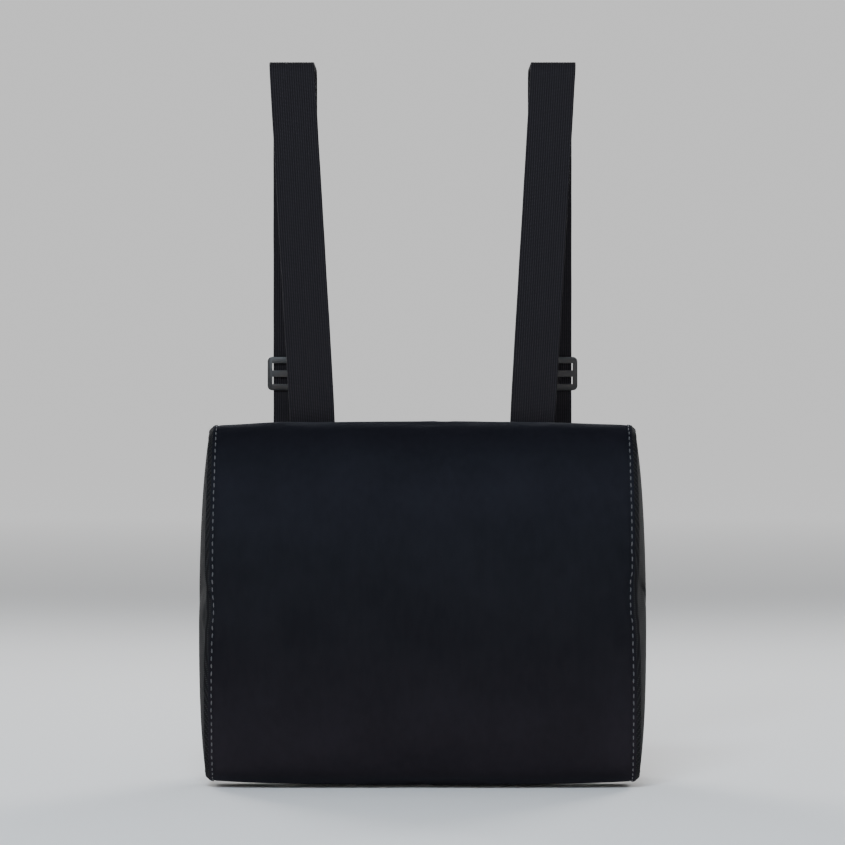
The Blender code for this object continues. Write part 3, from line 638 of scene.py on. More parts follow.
def quads(rows: int, columns: int, wrap_rows: bool = False, wrap_columns: bool = False) -> Array:
    """Faces of a grid of points stored row by row.

    Args:
        rows: number of rows.
        columns: number of columns.
        wrap_rows: whether the last row joins the first.
        wrap_columns: whether the last column joins the first.
    Returns:
        One row of four point numbers to a face.
    """
    r = np.arange(rows if wrap_rows else rows - 1)[:, None]
    c = np.arange(columns if wrap_columns else columns - 1)[None, :]
    r2, c2 = (r + 1) % rows, (c + 1) % columns
    ring = [r * columns + c, r * columns + c2, r2 * columns + c2, r2 * columns + c]
    return np.stack([np.broadcast_to(x, (r.size, c.size)) for x in ring], -1).reshape(-1, 4)


def unit(vectors: Array) -> Array:
    """Vectors of length one along the last axis."""
    return vectors / np.maximum(np.linalg.norm(vectors, axis=-1, keepdims=True), 1e-12)


def steps_along(points: Array, axis: int = 0) -> Array:
    """Length along a line of points, or along each line of a grid, from its start.

    Args:
        points: the line or the grid of points.
        axis: which axis the length runs along.
    Returns:
        The lengths.
    """
    steps = np.linalg.norm(np.diff(points, axis=axis), axis=-1)
    first = np.zeros_like(np.take(steps, [0], axis=axis))
    return np.cumsum(np.concatenate([first, steps], axis=axis), axis=axis)


def ripple(place: Array, wave: float, seed: float) -> Array:
    """An uneven wave from -1 to 1: three sines whose lengths share no common measure.

    Args:
        place: where to read it, in metres.
        wave: its typical length, in metres.
        seed: shifts the wave.
    Returns:
        The wave.
    """
    turn = 2 * math.pi * place / wave
    return (
        0.5 * np.sin(turn + seed)
        + 0.3 * np.sin(turn * 0.618 + 2.1 * seed)
        + 0.2 * np.sin(turn * 1.732 + 3.7 * seed)
    )


def add_mesh(name: str, points: Array, faces: list, finish: Finish, uv: Array | None = None) -> Piece:
    """Makes a smooth-shaded piece at the origin, its faces turned outwards.

    Args:
        name: the piece's name.
        points: its points, n by 3.
        faces: lists of point numbers.
        finish: what it is made of.
        uv: pattern coordinates in metres for each point.
    Returns:
        The new object.
    """
    mesh = bpy.data.meshes.new(name)
    mesh.from_pydata(points.tolist(), [], faces)
    if uv is not None:
        layer = mesh.uv_layers.new(name="UVMap")
        corner = np.zeros(len(mesh.loops), int)
        mesh.loops.foreach_get("vertex_index", corner)
        layer.uv.foreach_set("vector", uv[corner].astype(np.float32).ravel())
    mesh.shade_smooth()
    mesh.materials.append(finish.material())
    obj = bpy.data.objects.new(name, mesh)
    bpy.context.scene.collection.objects.link(obj)
    return obj


def turn_outwards(obj: Piece) -> None:
    """Turns every face of a closed mesh outwards.

    Args:
        obj: the piece.
    """
    shape = bmesh.new()
    shape.from_mesh(obj.data)
    bmesh.ops.recalc_face_normals(shape, faces=shape.faces)
    shape.to_mesh(obj.data)
    shape.free()


def capped(body: Array, caps: list[Array]) -> tuple[Array, list]:
    """One closed mesh of a lofted body and its two ends.

    Args:
        body: stations by places round the section.
        caps: rings of the left and the right end, each from its rim to its middle.
    Returns:
        The points, which are the body's and then each end's inner rings and its tip, and the faces.
    """
    stations, places = body.shape[:2]
    points = [body.reshape(-1, 3)]
    faces = quads(stations, places, wrap_columns=True).tolist()
    first = stations * places
    for rim, cap in zip((0, first - places), caps):
        tip = first + (len(cap) - 2) * places
        inside = np.arange(first, tip).reshape(-1, places)
        ids = np.concatenate([rim + np.arange(places)[None], inside])
        after = np.roll(ids, -1, axis=1)
        faces += np.stack([ids[:-1], after[:-1], after[1:], ids[1:]], -1).reshape(-1, 4).tolist()
        faces += np.stack([ids[-1], after[-1], np.full(places, tip)], -1).tolist()
        points += [cap[1:-1].reshape(-1, 3), cap[-1, :1]]
        first = tip + 1
    return np.concatenate(points), faces


@dataclass
class Surface:
    """A surface on a grid of two parameters, rows by columns, with pattern coordinates in metres."""

    points: Array
    uv: Array
    outward: float = 1.0  # -1 where rows cross columns points inwards

    @classmethod
    def measured(cls, points: Array, outward: float = 1.0) -> Surface:
        """A surface whose pattern coordinates are lengths along its middle row and middle column.

        Args:
            points: the grid of points.
            outward: 1 or -1, the sign that turns its normals outwards.
        Returns:
            The surface.
        """
        rows, columns = points.shape[:2]
        across = steps_along(points[rows // 2])
        along = steps_along(points[:, columns // 2])
        uv = np.stack(np.meshgrid(across - across.mean(), along), -1)
        return cls(points, uv, outward)

    def normals(self) -> Array:
        """Outward directions: the cross product of the two ways along the grid.

        Returns:
            One direction for each point.
        """
        down = np.gradient(self.points, axis=0)
        over = np.gradient(self.points, axis=1)
        return unit(np.cross(over, down)) * self.outward

    def raised(self, height: Array) -> Surface:
        """The surface moved outwards by height, in metres, given for each point."""
        return Surface(self.points + self.normals() * height[..., None], self.uv, self.outward)

    def shell(self, name: str, thickness: float, finish: Finish) -> Piece:
        """A closed piece of cloth: this surface, another one thickness inside it, and a rim.

        Args:
            name: the piece's name.
            thickness: the cloth's thickness.
            finish: what it is made of.
        Returns:
            The piece.
        """
        rows, columns = self.points.shape[:2]
        inner = self.points - self.normals() * thickness
        points = np.concatenate([self.points.reshape(-1, 3), inner.reshape(-1, 3)])
        uv = np.concatenate([self.uv.reshape(-1, 2)] * 2)
        count = rows * columns
        number = np.arange(count).reshape(rows, columns)
        rim = np.concatenate([number[0], number[1:, -1], number[-1, -2::-1], number[-2:0:-1, 0]])
        after = np.roll(rim, -1)
        edge = np.stack([rim, after, after + count, rim + count], -1)
        face = quads(rows, columns)
        faces = np.concatenate([face, face[:, ::-1] + count, edge])
        obj = add_mesh(name, points, faces.tolist(), finish, uv)
        turn_outwards(obj)
        return obj


@dataclass
class Line:
    """A smooth line in space with a direction that faces out of what it lies on."""

    points: Array
    out: Array

    def at(self, lengths: Array) -> tuple[Array, Array]:
        """Points and outward directions at lengths along the line.

        Args:
            lengths: lengths from the line's start.
        Returns:
            The points and the directions.
        """
        own = steps_along(self.points)
        both = np.concatenate([self.points, self.out], axis=1)
        read = np.stack([np.interp(lengths, own, column) for column in both.T], -1)
        return read[:, :3], unit(read[:, 3:])

    def length(self) -> float:
        """The line's whole length."""
        return float(steps_along(self.points)[-1])


@dataclass
class Stitching:
    """Rows of lock stitches: short bowed threads that dive into the cloth at both ends."""

    pitch: float = 5.0 * MM
    length: float = 3.1 * MM
    radius: float = 0.34 * MM
    rings: int = 6
    sides: int = 6

    def one_row(self, line: Line) -> tuple[Array, Array]:
        """Threads along a line.

        A point of a thread is the line's point, raised by a half sine, plus the radius times a circle
        across it. The radius swells from nothing at each end as the fourth root of a sine.

        Args:
            line: where the needle goes.
        Returns:
            Points, as stitches by rings by sides, and their pattern coordinates.
        """
        count = max(int((line.length() - self.length) / self.pitch), 1)
        start = (line.length() - (count - 1) * self.pitch - self.length) / 2
        share = np.linspace(0, 1, self.rings)
        places = start + np.arange(count)[:, None] * self.pitch + share * self.length
        middle, out = line.at(places.ravel())
        middle, out = (a.reshape(count, self.rings, 3) for a in (middle, out))
        swell = np.sin(math.pi * np.clip(share, 0.015, 0.985))
        middle = middle + out * (self.radius * (1.1 * swell - 0.55))[None, :, None]
        along = unit(np.gradient(middle, axis=1))
        across = unit(np.cross(along, out))
        angle = np.linspace(0, 2 * math.pi, self.sides, endpoint=False)
        circle = across[:, :, None] * np.cos(angle)[:, None] + out[:, :, None] * np.sin(angle)[:, None]
        points = middle[:, :, None] + circle * (self.radius * swell**0.25)[None, :, None, None]
        uv = np.stack(np.broadcast_arrays(angle / 40, (share * self.length)[:, None]), -1)
        return points, np.broadcast_to(uv, (count, *uv.shape))

    def piece(self, name: str, lines: list[Line], finish: Finish) -> Piece:
        """One piece that holds every row's threads.

        Args:
            name: the piece's name.
            lines: where the rows run.
            finish: the thread.
        Returns:
            The new object.
        """
        made = [self.one_row(line) for line in lines]
        points = np.concatenate([p for p, _ in made])
        uv = np.concatenate([u for _, u in made])
        size = self.rings * self.sides
        starts = (np.arange(len(points)) * size)[:, None, None]
        side = quads(self.rings, self.sides, wrap_columns=True)[None] + starts
        ends = np.stack([np.arange(self.sides), np.arange(size - self.sides, size)[::-1]])[None] + starts
        faces = side.reshape(-1, 4).tolist() + ends.reshape(-1, self.sides).tolist()
        obj = add_mesh(name, points.reshape(-1, 3), faces, finish, uv.reshape(-1, 2))
        turn_outwards(obj)
        return obj


def rounded_line(corners: list[tuple], step: float) -> Array:
    """A line through corners, each turned into an arc of its own radius, then read at even steps.

    An arc starts where radius over the tangent of half the corner's angle reaches along each side.

    Args:
        corners: (point, radius) pairs, in two or three dimensions.
        step: distance between the points returned.
    Returns:
        Points from the first corner to the last.
    """
    points = [np.asarray(p, float) for p, _ in corners]
    path = [points[0][None]]
    for before, here, after, (_, radius) in zip(points, points[1:], points[2:], corners[1:]):
        back, on = unit(before - here), unit(after - here)
        half = math.acos(float(np.clip(back @ on, -1, 1))) / 2
        if radius == 0 or half > math.pi / 2 - 1e-4:
            path.append(here[None])
            continue
        reach = radius / math.tan(half)
        centre = here + unit(back + on) * radius / math.sin(half)
        turn = math.pi - 2 * half
        t = np.linspace(0, 1, 25)[:, None]
        a, b = here + back * reach - centre, here + on * reach - centre
        path.append(centre + (np.sin((1 - t) * turn) * a + np.sin(t * turn) * b) / math.sin(turn))
    path.append(points[-1][None])
    line = np.concatenate(path)
    return even_line(line, step)


def even_line(line: Array, step: float) -> Array:
    """A line of points read again at even steps of about that length.

    Args:
        line: the points.
        step: the step that is wanted.
    Returns:
        The new points.
    """
    length = steps_along(line)
    places = np.linspace(0, length[-1], max(int(round(length[-1] / step)), 1) + 1)
    return np.stack([np.interp(places, length, line[:, k]) for k in range(line.shape[1])], -1)


def eased_line(line: Array, reach: int) -> Array:
    """A line with its curvature evened out: each point the mean of its neighbours, its ends kept.

    Args:
        line: the points.
        reach: how many neighbours count on each side.
    Returns:
        The new points.
    """
    kernel = np.hanning(2 * reach + 3)[1:-1]
    kernel = kernel / kernel.sum()
    before = 2 * line[0] - line[reach:0:-1]
    after = 2 * line[-1] - line[-2 : -reach - 2 : -1]
    long = np.concatenate([before, line, after])
    return np.stack([np.convolve(long[:, k], kernel, "valid") for k in range(line.shape[1])], -1)


# ---------------------------------------------------------------- cushion


@dataclass
class CushionForm:
    """The cushion's outer shape: a D section lofted across the width, crowned, with dished sides.

    Its body is a grid of stations across the width by places round the closed section, which runs from the
    top seam over the top, down the front and underneath to the bottom seam, and back up the flat back.
    """

    top_radius: float = 27 * MM
    bottom_radius: float = 29 * MM
    crown_radius: float = 150 * MM
    corner_radius: float = 6 * MM
    top_depth: float = 53 * MM
    bottom_depth: float = 60 * MM
    crown: tuple = (45 * MM, -48 * MM)
    back: tuple = (114 * MM, -115 * MM)
    edges: tuple = (121.0 * MM, -120.6 * MM)
    taper: float = 5 * MM
    side_pull: float = 0.09
    droop: float = 2.4 * MM
    bulge: float = 3.6 * MM
    stations: int = 57
    front_places: int = 74
    back_places: int = 42
    rings: int = 9
    ease: int = 12  # millimetres of the section's line over which its curvature is evened out
    ease_end: float = 30 * MM  # before the bottom seam, where that dies away
    even: float = 0.35  # share of even spacing among the stations
    left_droop: float = 0.35  # how much more the left top corner droops
    middle: float = 0.46  # how far forward a side's middle is, as a share of its depth
    frames: int = 20
    pressure: float = 4.0
    swell_cap: float = 4.0 * MM
    half_width: float = field(init=False)
    depth: float = field(init=False)

    def __post_init__(self) -> None:
        """Takes the width and the depth from the model's front panel."""
        low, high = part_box("cover_front_panel")
        self.half_width = (high.x - low.x) / 2 - self.taper / 4
        self.depth = -low.y

    def front_line(self, inset: float = 0.0) -> Array:
        """The section's (y, z) line from the top seam round the front to the bottom seam.

        Args:
            inset: how far inside the cover it lies.
        Returns:
            The points.
        """
        top, bottom = self.back
        high, low = self.edges
        start = -self.corner_radius
        rise = (high - top) / self.top_depth
        corners = [
            ((start, top - start * rise - inset), 0.0),
            ((-self.top_depth + inset * 0.5, high - inset), self.top_radius - inset),
            ((-self.depth + inset, self.crown[0]), self.crown_radius),
            ((-self.depth + inset, self.crown[1]), self.crown_radius),
            ((-self.bottom_depth + inset * 0.5, low + inset), self.bottom_radius - inset),
            ((-inset, bottom + inset), self.corner_radius),
            ((-inset, bottom + self.corner_radius), 0.0),
        ]
        line = rounded_line(corners, MM)
        length = steps_along(line)
        # The small corner beside the bottom seam keeps its radius.
        share = np.clip((length[-1] - length) / self.ease_end, 0, 1)[:, None]
        return line * (1 - share) + eased_line(line, self.ease) * share

    def back_line(self, inset: float = 0.0) -> Array:
        """The section's (y, z) line from the bottom seam up the back to the top seam.

        Args:
            inset: how far inside the cover it lies.
        Returns:
            The points.
        """
        top, bottom = self.back
        rise = (self.edges[0] - top) / self.top_depth
        corners = [
            ((-inset, bottom + self.corner_radius), 0.0),
            ((-inset, top - inset), self.corner_radius),
            ((-self.corner_radius, top + self.corner_radius * rise - inset), 0.0),
        ]
        return rounded_line(corners, MM)

    def section(self, inset: float = 0.0) -> Array:
        """The closed section, at even places along the front and along the back.

        Args:
            inset: how far inside the cover it lies.
        Returns:
            The (y, z) points.
        """
        front, back = self.front_line(inset), self.back_line(inset)
        read = []
        for line, count in ((front, self.front_places), (back, self.back_places)):
            length = steps_along(line)
            places = np.linspace(0, length[-1], count + 1)[:-1]
            read.append(np.stack([np.interp(places, length, line[:, k]) for k in (0, 1)], -1))
        return np.concatenate(read)

    def shaped(self, points: Array) -> Array:
        """Straight stock made cushion-shaped: tapered, shallower and drooping towards the side seams.

        x is scaled down with height, y by one minus the pull times the fourth power of the share of the
        width, and z drops by the droop times that power times the cube of the height.

        Args:
            points: stations by places of straight stock.
        Returns:
            The shaped points.
        """
        x, y, z = np.moveaxis(points, -1, 0)
        side = np.clip(np.abs(x) / self.half_width, 0, 1) ** 4
        up = z / self.edges[0]
        front = np.clip(-y / self.top_depth, 0, 1)
        left = 1 + self.left_droop * (x < 0)
        return np.stack(
            [
                x * (1 - self.taper / (2 * self.half_width) * z / (self.edges[0] - self.edges[1])),
                y * (1 - self.side_pull * side),
                z - self.droop * left * side * up**3 * front,
            ],
            -1,
        )

    def body(self, inset: float = 0.0) -> Array:
        """Stations by places round the section, closer together near the side seams.

        Args:
            inset: how far inside the cover it lies.
        Returns:
            The points.
        """
        section = self.section(inset)
        share = np.linspace(-1, 1, self.stations)
        x = (self.half_width - inset) * (self.even * share + (1 - self.even) * np.sin(share * math.pi / 2))
        y, z = section.T
        return self.shaped(np.stack(np.broadcast_arrays(x[:, None], y, z), -1))

    def cap(self, rim: Array, side: Side, bulge: float) -> Array:
        """A dished end: rings that shrink from rim to middle and stand out by bulge (1 - r to the 4th).

        Args:
            rim: the body's last ring.
            side: which end it closes.
            bulge: how far its middle stands out.
        Returns:
            Rings by places, from the rim to the middle.
        """
        middle = np.array([rim[:, 0].mean(), rim[:, 1].min() * self.middle, 0.0])
        r = np.cos(np.linspace(0, math.pi / 2, self.rings + 1))[:-1, None, None] ** 0.8
        r = np.concatenate([r, [[[0.0]]]])
        rings = middle + (rim - middle) * r
        rings[..., 0] += side.value * bulge * (1 - r[..., 0] ** 4)
        return rings

    def simulate(self, body: Array, caps: list[Array]) -> tuple[Array, list[Array]]:
        """Lets the cover fill out under a little pressure, with the back held flat.

        The cloth starts as the lofted shape and runs for some frames. No point moves by more than the cap:
        a move d becomes d / (1 + |d| / cap).

        Args:
            body: stations by places.
            caps: rings of the left and the right end, from rim to middle.
        Returns:
            The same grids, filled out.
        """
        stations, places = body.shape[:2]
        start, faces = capped(body, caps)
        moved = self.run_cloth(start, faces)
        move = moved - start
        size = np.linalg.norm(move, axis=1, keepdims=True)
        moved = start + move / (1 + size / self.swell_cap)
        new_body = moved[: stations * places].reshape(body.shape)
        new_caps = []
        at = stations * places
        for side, cap in zip(Side, caps):
            inside = moved[at : at + (len(cap) - 2) * places].reshape(-1, places, 3)
            at += (len(cap) - 2) * places + 1
            rim = new_body[side.station]
            tip = np.broadcast_to(moved[at - 1], (1, places, 3))
            new_caps.append(np.concatenate([rim[None], inside, tip]))
        return new_body, new_caps

    def run_cloth(self, start: Array, faces: list) -> Array:
        """Runs the cloth on a stand-in mesh, removes it and returns where its points ended.

        Args:
            start: the points.
            faces: the faces.
        Returns:
            The points that the cloth ended at.
        """
        mesh = bpy.data.meshes.new("cloth_blank")
        mesh.from_pydata(start.tolist(), [], faces)
        blank = bpy.data.objects.new("cloth_blank", mesh)
        bpy.context.scene.collection.objects.link(blank)
        turn_outwards(blank)
        held = blank.vertex_groups.new(name="held")
        held.add(np.flatnonzero(start[:, 1] > -self.corner_radius).tolist(), 1.0, "REPLACE")
        cloth = blank.modifiers.new("cover", "CLOTH")
        cloth_settings = {
            "quality": 6,
            "mass": 0.25,
            "tension_stiffness": 25,
            "compression_stiffness": 25,
            "shear_stiffness": 12,
            "bending_stiffness": 2.0,
            "use_pressure": True,
            "uniform_pressure_force": self.pressure,
            "vertex_group_mass": "held",
        }
        for name, value in cloth_settings.items():
            setattr(cloth.settings, name, value)
        cloth.settings.effector_weights.gravity = 0.0
        cloth.collision_settings.use_collision = False
        scene = bpy.context.scene
        for number in range(1, self.frames + 1):
            scene.frame_set(number)
        evaluated = blank.evaluated_get(bpy.context.evaluated_depsgraph_get())
        ended = np.zeros(len(start) * 3)
        evaluated.data.vertices.foreach_get("co", ended)
        scene.frame_set(1)
        bpy.data.objects.remove(blank)
        bpy.data.meshes.remove(mesh)
        return ended.reshape(-1, 3)


@dataclass
class Cover:
    """The sewn cover: a velvet front that wraps over and under, two D-shaped sides and two back panels."""

    form: CushionForm
    cloth: float = 1.8 * MM
    seam_depth: float = 1.7 * MM
    seam_reach: float = 1.5 * MM
    stitch_line: float = 4.6 * MM
    pucker: float = 0.28 * MM
    pucker_wave: float = 11 * MM
    pucker_start: float = 1.5 * MM
    pucker_reach: float = 9 * MM
    allowance: float = 0.35 * MM  # how far the turned-in edges lift the cloth
    allowance_place: float = 2.9 * MM
    allowance_reach: float = 1.3 * MM
    dip: float = 0.45 * MM  # under the topstitching
    dip_reach: float = 0.9 * MM
    uneven: float = 0.6 * MM
    uneven_waves: tuple = (83 * MM, 61 * MM)
    calm: float = 22 * MM  # from a seam to where the unevenness is full
    crowding: float = 1.7  # how much closer together the columns are beside the side seams
    front_grid: tuple = (262, 132)
    lower_grid: tuple = (40, 90)
    upper_grid: tuple = (104, 90)
    side_grid: tuple = (34, 300)
    side_out: float = 0.3 * MM
    zip_edges: tuple = field(init=False)

    def __post_init__(self) -> None:
        """Takes the zip's opening from the two back panels."""
        self.zip_edges = (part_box("cover_back_lower")[1].z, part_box("cover_back_upper")[0].z)

    def seam(self, distance: Array, along: Array, seed: float, stitched: bool) -> Array:
        """Height of the cloth beside a seam.

        It rolls in by the seam's depth as exp(-(d / reach) squared), swells over the allowance, puckers in
        an uneven wave that dies away from the seam, and dips under a row of topstitching.

        Args:
            distance: from the seam, for each point.
            along: length along the seam, for each point.
            seed: sets where the puckers fall.
            stitched: whether the seam is topstitched.
        Returns:
            Heights in metres.
        """
        roll = -self.seam_depth * np.exp(-((distance / self.seam_reach) ** 2))
        swell = self.allowance * np.exp(-(((distance - self.allowance_place) / self.allowance_reach) ** 2))
        wave = self.pucker * ripple(along, self.pucker_wave, seed) * np.exp(-distance / self.pucker_reach)
        height = roll + swell + wave * np.clip(distance / self.pucker_start, 0, 1)
        if stitched:
            pull = 0.75 + 0.25 * np.cos(2 * math.pi * along / Stitching.pitch)
            height -= self.dip * pull * np.exp(-(((distance - self.stitch_line) / self.dip_reach) ** 2))
        return height

    def panel(self, body: Array, span: tuple, grid: tuple, stitched: bool, seed: float) -> Surface:
        """A panel cut from the body, with its four seams.

        Args:
            body: stations by places round the section.
            span: the places round the section where it starts and ends, which may pass the section's end.
            grid: its rows down the section and its columns across the width, closer together at the sides.
            stitched: whether its side seams are topstitched.
            seed: sets where its puckers fall.
        Returns:
            The surface, rows down the section by columns across the width.
        """
        rows, columns = grid
        closed = spline_weights(body.shape[1], np.linspace(*span, rows), closed=True)
        share = np.linspace(-1, 1, columns)
        spread = np.sign(share) * (1 - (1 - np.abs(share)) ** self.crowding)
        over = spline_weights(body.shape[0], (spread + 1) / 2 * (body.shape[0] - 1))
        points = np.einsum("ap,spx,bs->abx", closed, body, over)
        surface = Surface.measured(points, outward=-1.0)
        across, along = steps_along(points, 1), steps_along(points, 0)
        left, right = across, across[:, -1:] - across
        top, bottom = along, along[-1:] - along
        sides = ((left, along, stitched), (right, along, stitched))
        sides += ((top, across, False), (bottom, across, False))
        height = np.zeros_like(across)
        for number, (distance, length, sewn) in enumerate(sides):
            height += self.seam(distance, length, seed + 1.3 * number, sewn)
        middle = np.clip(np.minimum.reduce([left, right, top, bottom]) / self.calm, 0, 1) ** 2
        wide, tall = self.uneven_waves
        uneven = ripple(left + 0.3 * top, wide, seed + 0.7) * ripple(top - 0.2 * left, tall, seed + 1.9)
        return surface.raised(height + self.uneven * middle * uneven)

    def build(self) -> list[Piece]:
        """Builds and dresses every panel and its stitches.

        Returns:
            The pieces.
        """
        form = self.form
        body = form.body()
        caps = [form.cap(body[side.station], side, form.bulge) for side in Side]
        body, caps = form.simulate(body, caps)
        total = body.shape[1]
        front = self.panel(body, (0, form.front_places), self.front_grid, True, 0.4)
        made = [self.finish_panel(front, "cushion_front", "cover_front_panel", VELVET)]
        made.append(self.topstitch(front))
        middle = body[body.shape[0] // 2]
        back = np.arange(form.front_places, total + 1)
        heights = middle[back % total, 2]
        low, high = (float(np.interp(edge, heights[:-4], back[:-4])) for edge in self.zip_edges)
        lower = self.panel(body, (form.front_places, low), self.lower_grid, False, 5.0)
        upper = self.panel(body, (high, total), self.upper_grid, False, 7.0)
        made.append(self.finish_panel(lower, "cushion_back_lower", "cover_back_lower", SIDE_CLOTH))
        made.append(self.finish_panel(upper, "cushion_back_upper", "cover_back_upper", SIDE_CLOTH))
        for side, cap in zip(Side, caps):
            made.append(self.side_panel(cap, side))
        return made

    def finish_panel(self, surface: Surface, name: str, node: str, finish: Finish) -> Piece:
        """Makes a panel's cloth, rides it on the root and stands it in for its node.

        Args:
            surface: the panel's outer face.
            name: the piece's name.
            node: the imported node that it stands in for.
            finish: its cloth.
        Returns:
            The panel.
        """
        obj = surface.shell(name, self.cloth, finish)
        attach(obj, "root")
        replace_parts(obj, node)
        return obj

    def topstitch(self, front: Surface) -> Piece:
        """The contrasting rows of stitches beside both side seams.

        Args:
            front: the panel that they are sewn through.
        Returns:
            The stitches.
        """
        across = steps_along(front.points, 1)
        normals = front.normals()
        columns = np.arange(across.shape[1])
        lines = []
        for distance, order in ((across, columns), (across[:, -1:] - across, columns[::-1])):
            places = np.array([np.interp(self.stitch_line, row[order], order) for row in distance])
            base = np.floor(places).astype(int)
            share = (places - base)[:, None]
            rows = np.arange(len(places))
            near = [
                a[rows, base] * (1 - share) + a[rows, base + 1] * share for a in (front.points, normals)
            ]
            lines.append(Line(near[0][3:-3], unit(near[1][3:-3])))
        obj = Stitching().piece("topstitch_side_seams", lines, TOPSTITCH)
        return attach(obj, "root")

    def side_panel(self, cap: Array, side: Side) -> Piece:
        """A D-shaped side: the cap read finely, with a seam all round its rim and a closed middle.

        Args:
            cap: the cushion's end, from its rim to its middle.
            side: which side it is.
        Returns:
            The panel.
        """
        rows, columns = self.side_grid
        rings = np.linspace(0, 1, rows) ** 1.6 * (cap.shape[0] - 1)
        places = np.linspace(0, cap.shape[1], columns, endpoint=False)
        down = spline_weights(cap.shape[0], rings)
        over = spline_weights(cap.shape[1], places, closed=True)
        points = np.einsum("ar,rpx,bp->abx", down, cap, over)
        points[:, :, 0] += side.value * self.side_out
        distance = steps_along(points, 0)
        along = steps_along(np.concatenate([points[0], points[0, :1]]))[:-1][None]
        height = self.seam(distance, np.broadcast_to(along, distance.shape), 9.0, False)
        outer = points + np.array([side.value, 0, 0]) * height[..., None]
        inner = outer - np.array([side.value * self.cloth, 0, 0])
        inner[0] = inner[0] * 0.2 + outer[0] * 0.8
        return self.close_side(outer, inner, side)

    def close_side(self, outer: Array, inner: Array, side: Side) -> Piece:
        """Joins a side's outer and inner faces along the rim and closes each middle with one point.

        Args:
            outer: rings of the outer face.
            inner: rings of the inner face.
            side: which side it is.
        Returns:
            The panel.
        """
        rings, count = outer.shape[:2]
        kept = rings - 1
        grids = [a[:kept].reshape(-1, 3) for a in (outer, inner)]
        points = np.concatenate(grids + [outer[-1, :1], inner[-1, :1]])
        face = quads(kept, count, wrap_columns=True)
        ring = np.arange(count)
        after = np.roll(ring, -1)
        offset = kept * count
        faces = np.concatenate(
            [face, face[:, ::-1] + offset, np.stack([ring, after, after + offset, ring + offset], -1)]
        ).tolist()
        for number in (0, 1):
            last = offset * (number + 1) - count
            tip = np.full(count, 2 * offset + number)
            faces += np.stack([ring + last, after + last, tip], -1).tolist()
        obj = add_mesh(f"cushion_side_{side.word}", points, faces, SIDE_CLOTH, points[:, 1:])
        turn_outwards(obj)
        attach(obj, "root")
        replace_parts(obj, f"cover_{side.word}_side")
        return obj


@dataclass
class Filling:
    """The foam block and the liner bag round it."""

    form: CushionForm
    liner_inset: float = 3.2 * MM
    liner: float = 0.6 * MM
    foam_inset: float = 5.4 * MM
    back_room: float = 2.4 * MM
    wrinkle_start: float = 20 * MM  # in front of the cushion's back
    wrinkle_wave: float = 34 * MM
    foam_dome: float = 0.6 * MM
    liner_dome: float = 0.5 * MM
    slit: float = 0.65  # where the liner's slit is, as a share of the way up the back

    def wrinkled(self, inset: float, wrinkle: float, seed: float) -> Array:
        """The form moved in, clear of the zip at the back, with shallow wrinkles over its front.

        Args:
            inset: how far inside the cover it lies.
            wrinkle: height of its wrinkles.
            seed: sets where they fall.
        Returns:
            Stations by places round the section.
        """
        body = self.form.body(inset)
        body[..., 1] = np.minimum(body[..., 1], -self.back_room - inset)
        x, z = body[..., 0], body[..., 2]
        front = body[..., 1] < -self.wrinkle_start
        body[..., 1] += wrinkle * ripple(x + 0.6 * z, self.wrinkle_wave, seed) * front
        return body

    def build(self) -> list[Piece]:
        """Builds the foam and the liner.

        Returns:
            The pieces.
        """
        body = self.wrinkled(self.foam_inset, 0.2 * MM, 1.0)
        caps = [self.form.cap(body[side.station], side, self.foam_dome) for side in Side]
        points, faces = capped(body, caps)
        foam = add_mesh("foam_block", points, faces, FOAM, points[:, [0, 2]])
        turn_outwards(foam)
        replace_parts(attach(foam, "root"), "foam_core")
        return [foam, self.liner_bag(self.wrinkled(self.liner_inset, 0.35 * MM, 2.0))]

    def liner_bag(self, body: Array) -> Piece:
        """The liner: one sheet wound round the foam from lip to lip of its slit, with gathered ends.

        Args:
            body: stations by places round the section.
        Returns:
            The liner.
        """
        total = body.shape[1]
        slit = self.form.front_places + int(self.form.back_places * self.slit)
        order = (np.arange(total - 1) + slit + 1) % total
        wrap = body[:, order].transpose(1, 0, 2)
        caps = [self.form.cap(wrap[:, side.station], side, self.liner_dome) for side in Side]
        ends = [rings[1:-1].transpose(1, 0, 2) for rings in caps]
        wide = np.concatenate([ends[0][:, ::-1], wrap, ends[1]], axis=1)
        bag = Surface.measured(wide, outward=-1.0).shell("liner_bag", self.liner, NON_WOVEN)
        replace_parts(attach(bag, "root"), "foam_liner")
        return bag


# ---------------------------------------------------------------- zip


